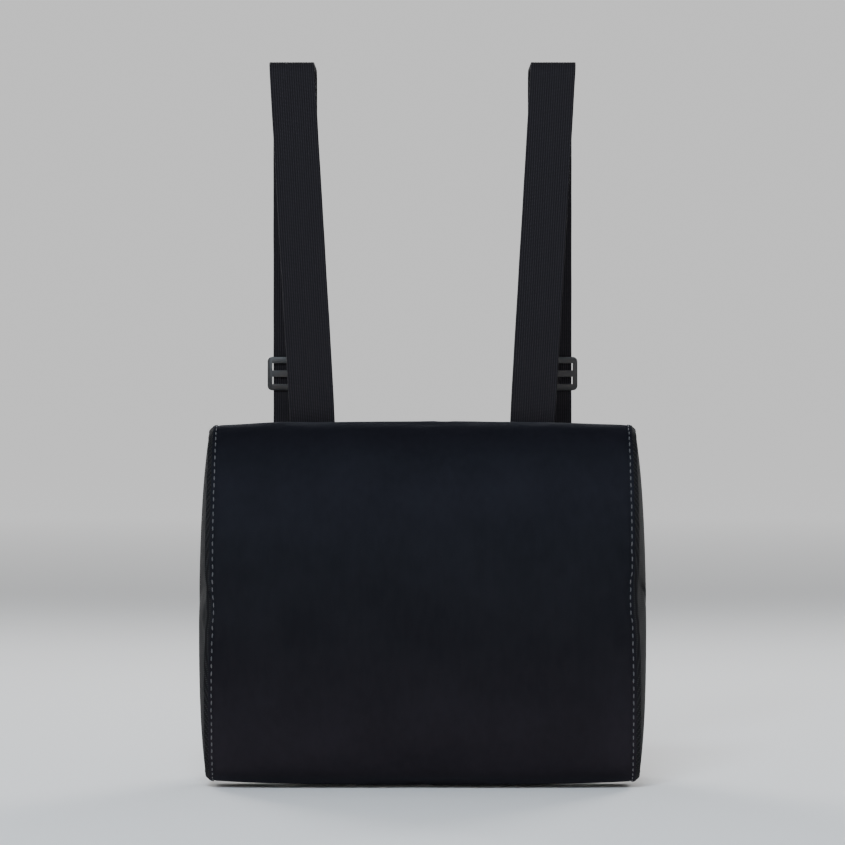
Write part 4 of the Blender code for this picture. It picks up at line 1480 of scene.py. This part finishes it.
@dataclass
class Zip:
    """A nylon coil zip across the lower back: tapes, coils, three stops, a slider and its puller."""

    height: float = -49 * MM
    split: float = 1.1 * MM
    tape_back: float = -2.35 * MM
    tape: float = 0.5 * MM
    chain: float = -1.08 * MM
    pitch: float = 1.3 * MM
    wire: float = 0.27 * MM
    head: float = 0.95 * MM
    rise: float = 0.62 * MM
    apart: float = 1.52 * MM
    spread: float = 2.6 * MM
    spread_start: float = 4 * MM  # before the slider's middle
    spread_reach: float = 5 * MM
    turn_steps: int = 9
    wire_sides: int = 5
    cord: float = 0.12 * MM
    cord_reach: float = 0.9 * MM
    tape_wave: float = 0.06 * MM
    tape_wave_length: float = 31 * MM
    tape_grid: tuple = (20, 120)
    seam_end: float = 6 * MM
    seam_edge: float = 2.6 * MM
    wedge: tuple = (1.0 * MM, 1.0 * MM, 0.6 * MM)  # half its height, its start along X, and its top face
    thinner: float = 4.0

    def coil(self, up: int) -> Piece:
        """One side's coil: a flattened helix along X, closed and then spread where the slider holds it.

        A point is (x, y + rise sin(turn), z + head cos(turn)) and the wire's own circle round it, where z
        goes smoothly from the closed to the spread offset under the slider.

        Args:
            up: 1 for the upper coil, -1 for the lower one, which lies half a pitch along.
        Returns:
            The coil.
        """
        node = "zipper_coil_upper" if up > 0 else "zipper_coil_lower"
        low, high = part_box(node)
        slider_low, slider_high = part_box("zipper_slider")
        middle = (slider_low.x + slider_high.x) / 2
        count = int((high.x - low.x) / self.pitch)
        turn = np.linspace(0, 2 * math.pi * count, count * self.turn_steps + 1)
        x = low.x + self.pitch * turn / (2 * math.pi)
        share = np.clip((x - middle + self.spread_start) / self.spread_reach, 0, 1)
        offset = self.apart + (self.spread - self.apart) * share**2 * (3 - 2 * share)
        phase = turn + (0 if up > 0 else math.pi)
        z = self.height + up * (offset + self.head * np.cos(phase))
        y = self.chain + self.rise * np.sin(phase)
        path = np.stack([x, y, z], -1)
        obj = tube("zip_coil_upper" if up > 0 else "zip_coil_lower", path, self.wire, self.wire_sides, COIL)
        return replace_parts(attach(obj, "root"), node)

    def tape_piece(self, up: int) -> Piece:
        """One tape: a thin woven sheet that lies behind the chain, with a cord along its inner edge.

        Args:
            up: 1 for the upper tape, -1 for the lower one.
        Returns:
            The tape.
        """
        node = "zipper_tape_upper" if up > 0 else "zipper_tape_lower"
        low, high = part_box(node)
        rows, columns = self.tape_grid
        across = np.linspace(0, 1, rows) ** 1.5
        x = np.linspace(low.x, high.x, columns)
        reach = high.z - low.z
        z = self.height + up * (self.split + across * reach)
        cord = self.cord * np.exp(-((across * reach / self.cord_reach) ** 2))
        wave = self.tape_wave * ripple(x, self.tape_wave_length, 1.0 + up)[None] * across[:, None]
        y = self.tape_back + cord[:, None] + wave
        points = np.stack(np.broadcast_arrays(x[None], y, z[:, None]), -1)
        surface = Surface.measured(points, outward=-1.0 if up > 0 else 1.0)
        obj = surface.shell("zip_tape_upper" if up > 0 else "zip_tape_lower", self.tape, ZIP_TAPE)
        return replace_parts(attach(obj, "root"), node)

    def tape_seams(self) -> Piece:
        """The rows that sew both panels down beside the zip.

        Returns:
            The stitches.
        """
        low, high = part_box("cover_back_lower")
        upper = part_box("cover_back_upper")[0]
        x = np.linspace(low.x + self.seam_end, high.x - self.seam_end, 200)
        rows = []
        for z in (high.z - self.seam_edge, upper.z + self.seam_edge):
            points = np.stack([x, np.full_like(x, 0.05 * MM), np.full_like(x, z)], -1)
            rows.append(Line(points, np.broadcast_to([0.0, 1.0, 0.0], points.shape)))
        stitches = Stitching(pitch=3.6 * MM, length=2.7 * MM, radius=0.24 * MM)
        obj = stitches.piece("topstitch_zip", rows, TACK)
        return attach(obj, "root")

    def thin_wedge(self, points: Array) -> Array:
        """The slider's points with the wedge between its plates made thinner, to clear the coils.

        Args:
            points: the slider's points.
        Returns:
            The changed points.
        """
        low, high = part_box("zipper_slider")
        half, start, top = self.wedge
        x, y, z = points.T
        off = z - self.height
        inside = (np.abs(off) < half) & (x > (low.x + high.x) / 2 + start) & (y < top)
        points[:, 2] = np.where(inside, self.height + off / self.thinner, z)
        return points

    def build(self) -> list[Piece]:
        """Builds the whole zip.

        Returns:
            The pieces.
        """
        made = [self.coil(up) for up in (1, -1)] + [self.tape_piece(up) for up in (1, -1)]
        made.append(self.tape_seams())
        for name in ("bottom_stop", "top_stop_upper", "top_stop_lower"):
            made.append(eased(f"zipper_{name}", "zip_" + name, "root", ZINC, 0.35 * MM))
        made.append(eased("zipper_slider", "zip_slider", "zip_slider", ZINC, 0.22 * MM, self.thin_wedge))
        made.append(eased("zipper_puller", "zip_puller", "zip_puller", ZINC, 0.3 * MM))
        return made


def tube(name: str, path: Array, radius: float, sides: int, finish: Finish) -> Piece:
    """A wire along a path: a circle carried square to it, with both ends closed.

    Args:
        name: the piece's name.
        path: the wire's middle line.
        radius: the wire's radius.
        sides: points in each circle.
        finish: what it is made of.
    Returns:
        The new object.
    """
    along = unit(np.gradient(path, axis=0))
    up = unit(np.cross(along, [1.0, 0.3, 0.2]))
    across = np.cross(along, up)
    angle = np.linspace(0, 2 * math.pi, sides, endpoint=False)
    circle = up[:, None] * np.cos(angle)[:, None] + across[:, None] * np.sin(angle)[:, None]
    points = path[:, None] + circle * radius
    uv = np.stack(np.broadcast_arrays(angle[None] * radius, steps_along(path)[:, None]), -1)
    faces = quads(len(path), sides, wrap_columns=True).tolist()
    last = (len(path) - 1) * sides
    faces += [list(range(sides)), list(range(last, last + sides))]
    obj = add_mesh(name, points.reshape(-1, 3), faces, finish, uv.reshape(-1, 2))
    turn_outwards(obj)
    return obj


def eased(
    node: str,
    name: str,
    body: str,
    finish: Finish,
    radius: float,
    change: Callable[[Array], Array] | None = None,
) -> Piece:
    """A hard piece with rounded edges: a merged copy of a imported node, bevelled by angle.

    Args:
        node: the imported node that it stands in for.
        name: the piece's name.
        body: the body it moves with.
        finish: what it is made of.
        radius: how far each edge is rounded off.
        change: moves the copy's points, n by 3, before the edges are rounded.
    Returns:
        The new object.
    """
    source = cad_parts[node]
    mesh = bpy.data.meshes.new(name)
    shape = bmesh.new()
    shape.from_mesh(source.data)
    shape.transform(source.matrix_world)
    bmesh.ops.remove_doubles(shape, verts=shape.verts, dist=SAME_POINT)
    bmesh.ops.dissolve_limit(
        shape, angle_limit=FLAT_BELOW, verts=shape.verts, edges=shape.edges, delimit={"NORMAL"}
    )
    shape.to_mesh(mesh)
    shape.free()
    if change:
        places = np.zeros(len(mesh.vertices) * 3)
        mesh.vertices.foreach_get("co", places)
        mesh.vertices.foreach_set("co", change(places.reshape(-1, 3)).ravel())
    mesh.materials.clear()
    mesh.materials.append(finish.material())
    obj = bpy.data.objects.new(name, mesh)
    bpy.context.scene.collection.objects.link(obj)
    bevel = obj.modifiers.new("edges", "BEVEL")
    bevel.width = radius
    bevel.segments = 3
    bevel.limit_method = "ANGLE"
    bevel.angle_limit = EDGE_ABOVE
    bevel.use_clamp_overlap = True
    bevel.harden_normals = True
    weld = obj.modifiers.new("merge", "WELD")
    weld.merge_threshold = SAME_CORNER
    mesh.shade_smooth()
    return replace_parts(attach(obj, body), node)


# ---------------------------------------------------------------- straps


@dataclass
class Band:
    """Ribbed elastic webbing along a path: a closed ribbed profile carried square to the path."""

    width: float = 30 * MM
    thickness: float = 1.6 * MM
    ribs: int = 16
    rib_points: int = 4
    rib_depth: float = 0.16 * MM
    edge_points: int = 7
    squeeze_reach: float = 12 * MM
    waver: float = 0.004  # share by which the width wanders
    waver_wave: float = 46 * MM

    def profile(self) -> Array:
        """The band's outline as (across, out) points: ribs |sin| deep on both faces, and round selvages.

        Returns:
            The points, in order round the band.
        """
        half, out = self.width / 2 - self.thickness / 2, self.thickness / 2
        a = np.linspace(-half, half, self.ribs * self.rib_points + 1)[1:-1]
        ribs = out - self.rib_depth * (1 - np.abs(np.sin(math.pi * self.ribs * (a / half + 1) / 2)))
        angle = np.linspace(math.pi / 2, -math.pi / 2, self.edge_points)
        edge = np.stack([half + out * np.cos(angle), out * np.sin(angle)], -1)
        face = np.stack([a, ribs], -1)
        return np.concatenate([face, edge, face[::-1] * (1, -1), edge[::-1] * (-1, 1)])

    def piece(self, name: str, path: Array, squeeze: float = 0.0) -> Piece:
        """The band as a closed mesh.

        Args:
            name: the piece's name.
            path: its middle line.
            squeeze: share of its width that it loses at its start, where a seam gathers it.
        Returns:
            The new object.
        """
        along = unit(np.gradient(path, axis=0))
        across = unit(np.array([1.0, 0.0, 0.0]) - along[:, :1] * along)
        out = np.cross(along, across)
        outline = self.profile()
        length = steps_along(path)
        width = 1 - squeeze * np.exp(-length / self.squeeze_reach)
        edge = 1 + self.waver * ripple(length, self.waver_wave, float(len(name)))
        a = outline[None, :, :1] * (width * edge)[:, None, None]
        points = path[:, None] + across[:, None] * a + out[:, None] * outline[None, :, 1:]
        uv = np.stack(np.broadcast_arrays(outline[None, :, 0], length[:, None]), -1)
        count = len(outline)
        faces = quads(len(path), count, wrap_columns=True).tolist()
        last = (len(path) - 1) * count
        faces += [list(range(count)), list(range(last, last + count))]
        obj = add_mesh(name, points.reshape(-1, 3), faces, ELASTIC, uv.reshape(-1, 2))
        turn_outwards(obj)
        return obj


@dataclass
class StrapSet:
    """One side's webbing: over the backrest to the plug and the adjuster, and under it to the socket."""

    side: Side
    form: CushionForm
    band: Band = field(default_factory=Band)
    gather: float = 0.03  # share of its width that a strap loses in a seam
    top_x: float = 72.5 * MM
    slot_height: float = 357 * MM
    lean: float = 10 * MM
    rear: float = 105 * MM
    tail: float = 5 * MM
    wrap: float = 2.2 * MM
    slot_bend: float = 10 * MM
    under_bend: float = 14 * MM
    lean_start: float = 11 * MM
    lean_end: float = 52 * MM
    seam_bend: float = 25 * MM
    lean_bend: float = 60 * MM
    under_drop: float = 0.35 * MM
    under_start: float = 1 * MM
    bar_height: float = 5 * MM
    bar_overlap: float = 2.2 * MM
    glide_bar: float = 3.9 * MM  # behind the strap's rear run
    glide_wrap: float = 2.0 * MM
    glide_top: float = 1.9 * MM
    glide_low: float = 2.2 * MM
    return_rise: float = 12.3 * MM
    return_bend: float = 30 * MM
    lap: float = 24 * MM
    lap_gap: float = 1.75 * MM
    lap_room: float = 6 * MM
    lap_entry: float = 5 * MM
    lap_bend: float = 12 * MM
    step: float = 1.7 * MM
    turn_points: int = 13
    tack_edge: float = 3.2 * MM
    tack_end: float = 2.0 * MM

    def __post_init__(self) -> None:
        """Reads where the fittings are."""
        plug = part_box(f"{self.side.word}_buckle_plug")
        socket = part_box(f"{self.side.word}_buckle_socket")
        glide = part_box(f"{self.side.word}_strap_glide")
        self.rear_x = abs(plug[0].x + plug[1].x) / 2
        self.plug_turn = plug[1].z - self.bar_height / 2 - self.bar_overlap
        self.socket_turn = socket[0].z + self.bar_height / 2 + self.bar_overlap
        self.glide_middle = (glide[0].z + glide[1].z) / 2

    def sided(self, path: Array) -> Array:
        """A path given for the right-hand side, moved to this side."""
        return path * np.array([self.side.value, 1.0, 1.0])

    def half_turn(self, y: float, z: float, radius: float, up: int, start: float = -1.0) -> Array:
        """Half a circle over or under a bar, from its front (start -1) or its back (start 1).

        Args:
            y: how far back the bar's middle is.
            z: the height of the bar's middle.
            radius: the turn's radius.
            up: 1 over the bar, -1 under it.
            start: the side that it starts on.
        Returns:
            The points.
        """
        t = np.linspace(0, math.pi, self.turn_points)
        across = y + start * radius * np.cos(t)
        return np.stack([np.full_like(t, self.rear_x), across, z + up * radius * np.sin(t)], -1)

    def behind(self, *corners: tuple) -> list[tuple]:
        """Corners at the rear run's place across: (y, z, radius) for each."""
        return [((self.rear_x, y, z), radius) for y, z, radius in corners]

    def upper(self) -> Array:
        """From the top seam over the backrest, down behind it and round the plug's bar.

        Returns:
            The strap's middle line.
        """
        top = self.form.back[0]
        seam_y = -self.form.corner_radius
        seam_z = top - seam_y * (self.form.edges[0] - top) / self.form.top_depth
        splay = (self.rear_x - self.top_x) / (self.slot_height - seam_z)
        corners = [
            ((self.top_x - splay * self.tail, seam_y, seam_z - self.tail), 0.0),
            ((self.top_x + splay * self.lean_start, seam_y, seam_z + self.lean_start), self.seam_bend),
            (
                (self.top_x + splay * self.lean_end, self.band.thickness, seam_z + self.lean_end),
                self.lean_bend,
            ),
        ] + self.behind(
            (self.lean, self.slot_height, self.slot_bend),
            (self.rear, self.slot_height, self.slot_bend),
            (self.rear, self.plug_turn, 0.0),
        )
        turn = self.half_turn(self.rear + self.wrap, self.plug_turn, self.wrap, -1)
        return self.sided(np.concatenate([rounded_line(corners, self.step)[:-1], turn]))

    def back_up(self) -> Array:
        """From the plug's bar up to the adjuster's middle bar, round it and down to its sewn end.

        Returns:
            The strap's middle line.
        """
        far = self.rear + 2 * self.wrap
        radius = self.glide_wrap
        bar_y = self.rear + self.glide_bar
        high = self.glide_middle + self.glide_top
        low = self.glide_middle - self.glide_low
        foot = low - 2 * self.lap_room - self.lap / 2
        rise = self.behind(
            (far, self.plug_turn, 0.0),
            (far, self.plug_turn + self.return_rise, self.return_bend),
            (bar_y + radius, foot, self.return_bend),
            (bar_y + radius, high, 0.0),
        )
        lap_y = bar_y + radius - self.lap_gap
        turn = self.half_turn(bar_y, high, radius, 1, start=1.0)
        end = self.behind(
            (bar_y - radius, high, 0.0),
            (bar_y - radius, low, self.lap_entry),
            (lap_y, low - self.lap_room, self.lap_bend),
            (lap_y, low - self.lap_room - self.lap / 2, 0.0),
        )
        parts = [rounded_line(rise, self.step)[:-1], turn[:-1], rounded_line(end, 1.2 * MM)]
        return self.sided(np.concatenate(parts))

    def lower(self) -> Array:
        """From the bottom seam, under the backrest and up to where its end begins.

        Returns:
            The strap's middle line.
        """
        seam_z = self.form.back[1] + self.form.corner_radius
        corners = self.behind(
            (-self.tail, seam_z - self.under_drop, 0.0),
            (self.under_start, seam_z, 0.0),
            (self.rear, seam_z, self.under_bend),
            (self.rear, self.lower_split, 0.0),
        )
        return self.sided(rounded_line(corners, self.step))

    @property
    def lower_split(self) -> float:
        """Where the lower strap's fixed part hands over to its end."""
        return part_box(f"{self.side.word}_lower_strap")[1].z

    def lower_end(self) -> Array:
        """The lower strap's end, from behind the backrest round the socket's bar to its sewn lap.

        Returns:
            The strap's middle line.
        """
        far = self.rear + 2 * self.wrap
        bar = self.socket_turn - self.bar_overlap
        foot = bar - self.bar_height - self.lap_room
        lap_y = self.rear + self.lap_gap
        rise = self.behind((self.rear, self.lower_split, 0.0), (self.rear, self.socket_turn, 0.0))
        end = self.behind(
            (far, self.socket_turn, 0.0),
            (far, bar - self.bar_height / 2, self.lap_entry),
            (lap_y, foot, self.lap_bend),
            (lap_y, foot - self.lap, 0.0),
        )
        turn = self.half_turn(self.rear + self.wrap, self.socket_turn, self.wrap, 1)
        parts = [rounded_line(rise, self.step)[:-1], turn[:-1], rounded_line(end, 1.4 * MM)]
        return self.sided(np.concatenate(parts))

    def tack(self, name: str, y: float, high: float, low: float, cross: bool) -> Piece:
        """A sewn box through two layers, with a cross in it if there is room, seen from behind.

        Args:
            name: the piece's name, without its side.
            y: how far back the webbing faces.
            high: the box's upper end.
            low: the box's lower end.
            cross: whether it has a cross.
        Returns:
            The stitches.
        """
        half = self.band.width / 2 - self.tack_edge
        x = self.side.value * self.rear_x
        high, low = high - self.tack_end, low + self.tack_end
        box = [(-half, high), (half, high), (half, low), (-half, low)]
        runs = list(zip(box, box[1:] + box[:1]))
        if cross:
            runs += [(box[0], box[2]), (box[1], box[3])]
        lines = []
        for (a, b), (c, d) in runs:
            share = np.linspace(0, 1, 24)
            points = np.stack([x + a + (c - a) * share, np.full(24, y), b + (d - b) * share], -1)
            lines.append(Line(points, np.broadcast_to([0.0, 1.0, 0.0], points.shape)))
        stitches = Stitching(pitch=2.6 * MM, length=2.1 * MM, radius=0.24 * MM)
        return stitches.piece(f"{self.side.word}_{name}", lines, TACK)

    def build(self) -> list[Piece]:
        """Builds this side's webbing and its stitches.

        Returns:
            The pieces.
        """
        word = self.side.word
        upper = self.band.piece(f"{word}_strap_upper", self.upper(), squeeze=self.gather)
        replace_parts(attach(upper, "root"), f"{word}_upper_strap")
        lower = self.band.piece(f"{word}_strap_lower", self.lower(), squeeze=self.gather)
        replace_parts(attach(lower, "root"), f"{word}_lower_strap")
        back = self.back_up()
        strap_return = self.band.piece(f"{word}_strap_to_adjuster", back)
        lap_low, lap_high = back[-1, 2], back[-1, 2] + self.lap / 2
        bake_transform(strap_return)
        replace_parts(strap_return, f"{word}_strap_return")
        face = back[:, 1].max() + self.band.thickness / 2
        glide_tack = self.tack("adjuster_tack", face, lap_high, lap_low, cross=False)
        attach(glide_tack, f"{word}_glide")
        end = self.lower_end()
        lower_end = self.band.piece(f"{word}_strap_to_socket", end)
        end_low, end_high = end[-1, 2], end[-1, 2] + self.lap
        self.lower_split + 2 * MM
        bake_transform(lower_end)
        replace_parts(lower_end, f"{word}_lower_strap_end")
        face = end[-1, 1] + self.band.thickness / 2
        socket_tack = self.tack("socket_tack", face, end_high, end_low, cross=True)
        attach(socket_tack, f"{word}_socket")
        return [upper, lower, strap_return, lower_end, glide_tack, socket_tack]


# ---------------------------------------------------------------- buckles


@dataclass
class Fittings:
    """One side's moulded fittings: adjuster, plug with its two prongs, and socket with grip ribs."""

    side: Side
    edge: float = 0.28 * MM
    grips: int = 6
    grip_pitch: float = 1.5 * MM
    grip: float = 0.34 * MM
    grip_reach: float = 9 * MM
    grip_foot: float = 12.5 * MM
    rib_rings: int = 9
    rib_sides: int = 10

    def grip_ribs(self, name: str, node: str, body: str, low: float, reach: float) -> Piece:
        """Half-round ribs across both faces of a fitting, so that fingers don't slip.

        A point of a rib is (x, face + grip sin(a), z + 1.3 grip cos(a)), and both ends run down to the
        face.

        Args:
            name: the piece's name.
            node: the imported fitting.
            body: what it moves with.
            low: height of the lowest rib.
            reach: half a rib's length.
        Returns:
            The ribs.
        """
        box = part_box(node)
        x = (box[0].x + box[1].x) / 2
        share = np.linspace(-1, 1, self.rib_rings)[:, None]
        angle = np.linspace(0, 2 * math.pi, self.rib_sides, endpoint=False)
        size = self.grip * np.sqrt(np.clip(1 - share**6, 0.01, 1))
        count = self.rib_rings * self.rib_sides
        side = quads(self.rib_rings, self.rib_sides, wrap_columns=True)
        ends = np.array([range(self.rib_sides), range(count - self.rib_sides, count)])
        parts, faces = [], []
        for number in range(self.grips):
            for face in (box[0].y, box[1].y):
                across = face + size * np.sin(angle)
                up = low + number * self.grip_pitch + 1.3 * size * np.cos(angle)
                rib = np.stack(np.broadcast_arrays(x + share * reach, across, up), -1)
                first = len(parts) * count
                faces += (side + first).tolist() + (ends + first).tolist()
                parts.append(rib.reshape(-1, 3))
        points = np.concatenate(parts)
        obj = add_mesh(name, points, faces, ACETAL)
        turn_outwards(obj)
        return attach(obj, body)

    def build(self) -> list[Piece]:
        """Builds this side's fittings.

        Returns:
            The pieces.
        """
        word = self.side.word
        made = [
            eased(f"{word}_strap_glide", f"{word}_adjuster", f"{word}_glide", ACETAL, self.edge),
            eased(f"{word}_buckle_plug", f"{word}_plug", "root", ACETAL, self.edge),
            eased(f"{word}_buckle_socket", f"{word}_socket", f"{word}_socket", ACETAL, self.edge),
        ]
        for arm in ("outer", "inner"):
            body = f"{word}_prong_{arm}"
            made.append(eased(f"{word}_buckle_prong_{arm}", f"{word}_prong_{arm}", body, ACETAL, self.edge))
        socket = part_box(f"{word}_buckle_socket")
        low = socket[0].z + self.grip_foot
        name, node, body = f"{word}_socket_grips", f"{word}_buckle_socket", f"{word}_socket"
        made.append(self.grip_ribs(name, node, body, low, self.grip_reach))
        return made


# ---------------------------------------------------------------- studio


@dataclass(frozen=True)
class SoftBox:
    """A soft studio light that the camera doesn't see."""

    name: str
    place: tuple
    aim: tuple
    size: tuple  # width and height
    watts: float
    colour: tuple
    spread: float = 180.0  # how wide its beam is, in degrees

    def build(self) -> None:
        """Hangs the light."""
        light = bpy.data.lights.new(self.name, "AREA")
        light.shape = "RECTANGLE"
        light.size, light.size_y = self.size
        light.energy = self.watts
        light.color = self.colour
        light.spread = math.radians(self.spread)
        obj = bpy.data.objects.new(self.name, light)
        obj.location = self.place
        obj.rotation_euler = direction(self.place, self.aim)
        obj.visible_camera = False
        bpy.context.scene.collection.objects.link(obj)


COOL, WARM, WHITE = (0.76, 0.88, 1.0), (1.0, 0.84, 0.76), (1.0, 1.0, 1.0)
LIGHTS = (
    SoftBox("key", (-0.3, -2.55, 1.95), (0.0, -0.05, 0.0), (1.0, 0.6), 84.0, COOL),
    SoftBox("low", (0.0, -1.7, -0.02), (0.0, -0.08, -0.09), (0.9, 0.1), 0.28, WARM, 24.0),
    SoftBox("rear_left", (-1.5, 2.9, 1.2), (0.0, 0.0, 0.05), (1.2, 1.0), 11.0, WHITE, 60.0),
    SoftBox("rear_right", (1.5, 2.9, 1.2), (0.0, 0.0, 0.05), (1.2, 1.0), 11.0, WHITE, 60.0),
)


@dataclass
class Studio:
    """A plain pale floor, soft light and the camera."""

    distance: float = 3.2
    lift: float = 0.8
    aim: tuple = (0.0, 0.0, 0.118)
    view: float = 0.560
    around: float = 0.80
    overhead: float = 0.3
    sensor: float = 36.0
    floor_reach: float = 40.0
    floor_drop: float = 0.5 * MM

    def floor(self, height: float) -> Piece:
        """A wide flat floor.

        Args:
            height: where it lies.
        Returns:
            The floor.
        """
        line = np.linspace(-self.floor_reach, self.floor_reach, 5)
        points = np.stack(np.broadcast_arrays(line[None], line[:, None], height), -1)
        mesh = bpy.data.meshes.new("floor")
        mesh.from_pydata(points.reshape(-1, 3).tolist(), [], quads(5, 5).tolist())
        mesh.materials.append(PAPER.material())
        obj = bpy.data.objects.new("floor", mesh)
        bpy.context.scene.collection.objects.link(obj)
        obj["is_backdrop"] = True
        return obj

    def sky(self) -> bpy.types.World:
        """Even light from all round, weaker from overhead: a ramp over the direction's height.

        Returns:
            The world.
        """
        world = bpy.data.worlds.new("studio")
        world.use_nodes = True
        tree = world.node_tree
        where = tree.nodes.new("ShaderNodeTexCoord")
        split = tree.nodes.new("ShaderNodeSeparateXYZ")
        ramp = tree.nodes.new("ShaderNodeValToRGB")
        stops = ((0.15, self.around), (0.65, self.overhead))
        for element, (position, grey) in zip(ramp.color_ramp.elements, stops):
            element.position = position
            element.color = (grey, grey, grey, 1.0)
        tree.links.new(where.outputs["Generated"], split.inputs[0])
        tree.links.new(split.outputs["Z"], ramp.inputs["Fac"])
        tree.links.new(ramp.outputs["Color"], tree.nodes["Background"].inputs["Color"])
        return world

    def build(self) -> None:
        """Sets the stage, the lights and the camera."""
        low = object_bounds()[0]
        self.floor(low[2] - self.floor_drop)
        for light in LIGHTS:
            light.build()
        bpy.context.scene.world = self.sky()
        camera = bpy.data.cameras.new("camera")
        camera.sensor_width = self.sensor
        camera.lens = self.sensor * self.distance / self.view
        obj = bpy.data.objects.new("camera", camera)
        x, y, z = self.aim
        obj.location = (x, y - self.distance, z + self.distance * math.sin(math.radians(self.lift)))
        obj.rotation_euler = direction(tuple(obj.location), self.aim)
        bpy.context.scene.collection.objects.link(obj)
        bpy.context.scene.camera = obj


def direction(place: tuple, aim: tuple) -> object:
    """The rotation that turns a camera or a light at place towards aim."""
    return (Vector(aim) - Vector(place)).to_track_quat("-Z", "Y").to_euler()


# ---------------------------------------------------------------- scene


def report(name: str, pieces: list[Piece]) -> None:
    """Logs a sub-assembly's pieces and how many points they have."""
    for piece in pieces:
        log.info("%s: %s, %d points", name, piece.name, len(piece.data.vertices))


def main() -> None:
    logging.basicConfig(level=logging.INFO, format="%(message)s")
    form = CushionForm()
    report("cover", Cover(form).build())
    report("filling", Filling(form).build())
    report("zip", Zip().build())
    for side in Side:
        report("straps", StrapSet(side, form).build())
        report("fittings", Fittings(side).build())
    Studio().build()


if __name__ == "__main__":
    main()
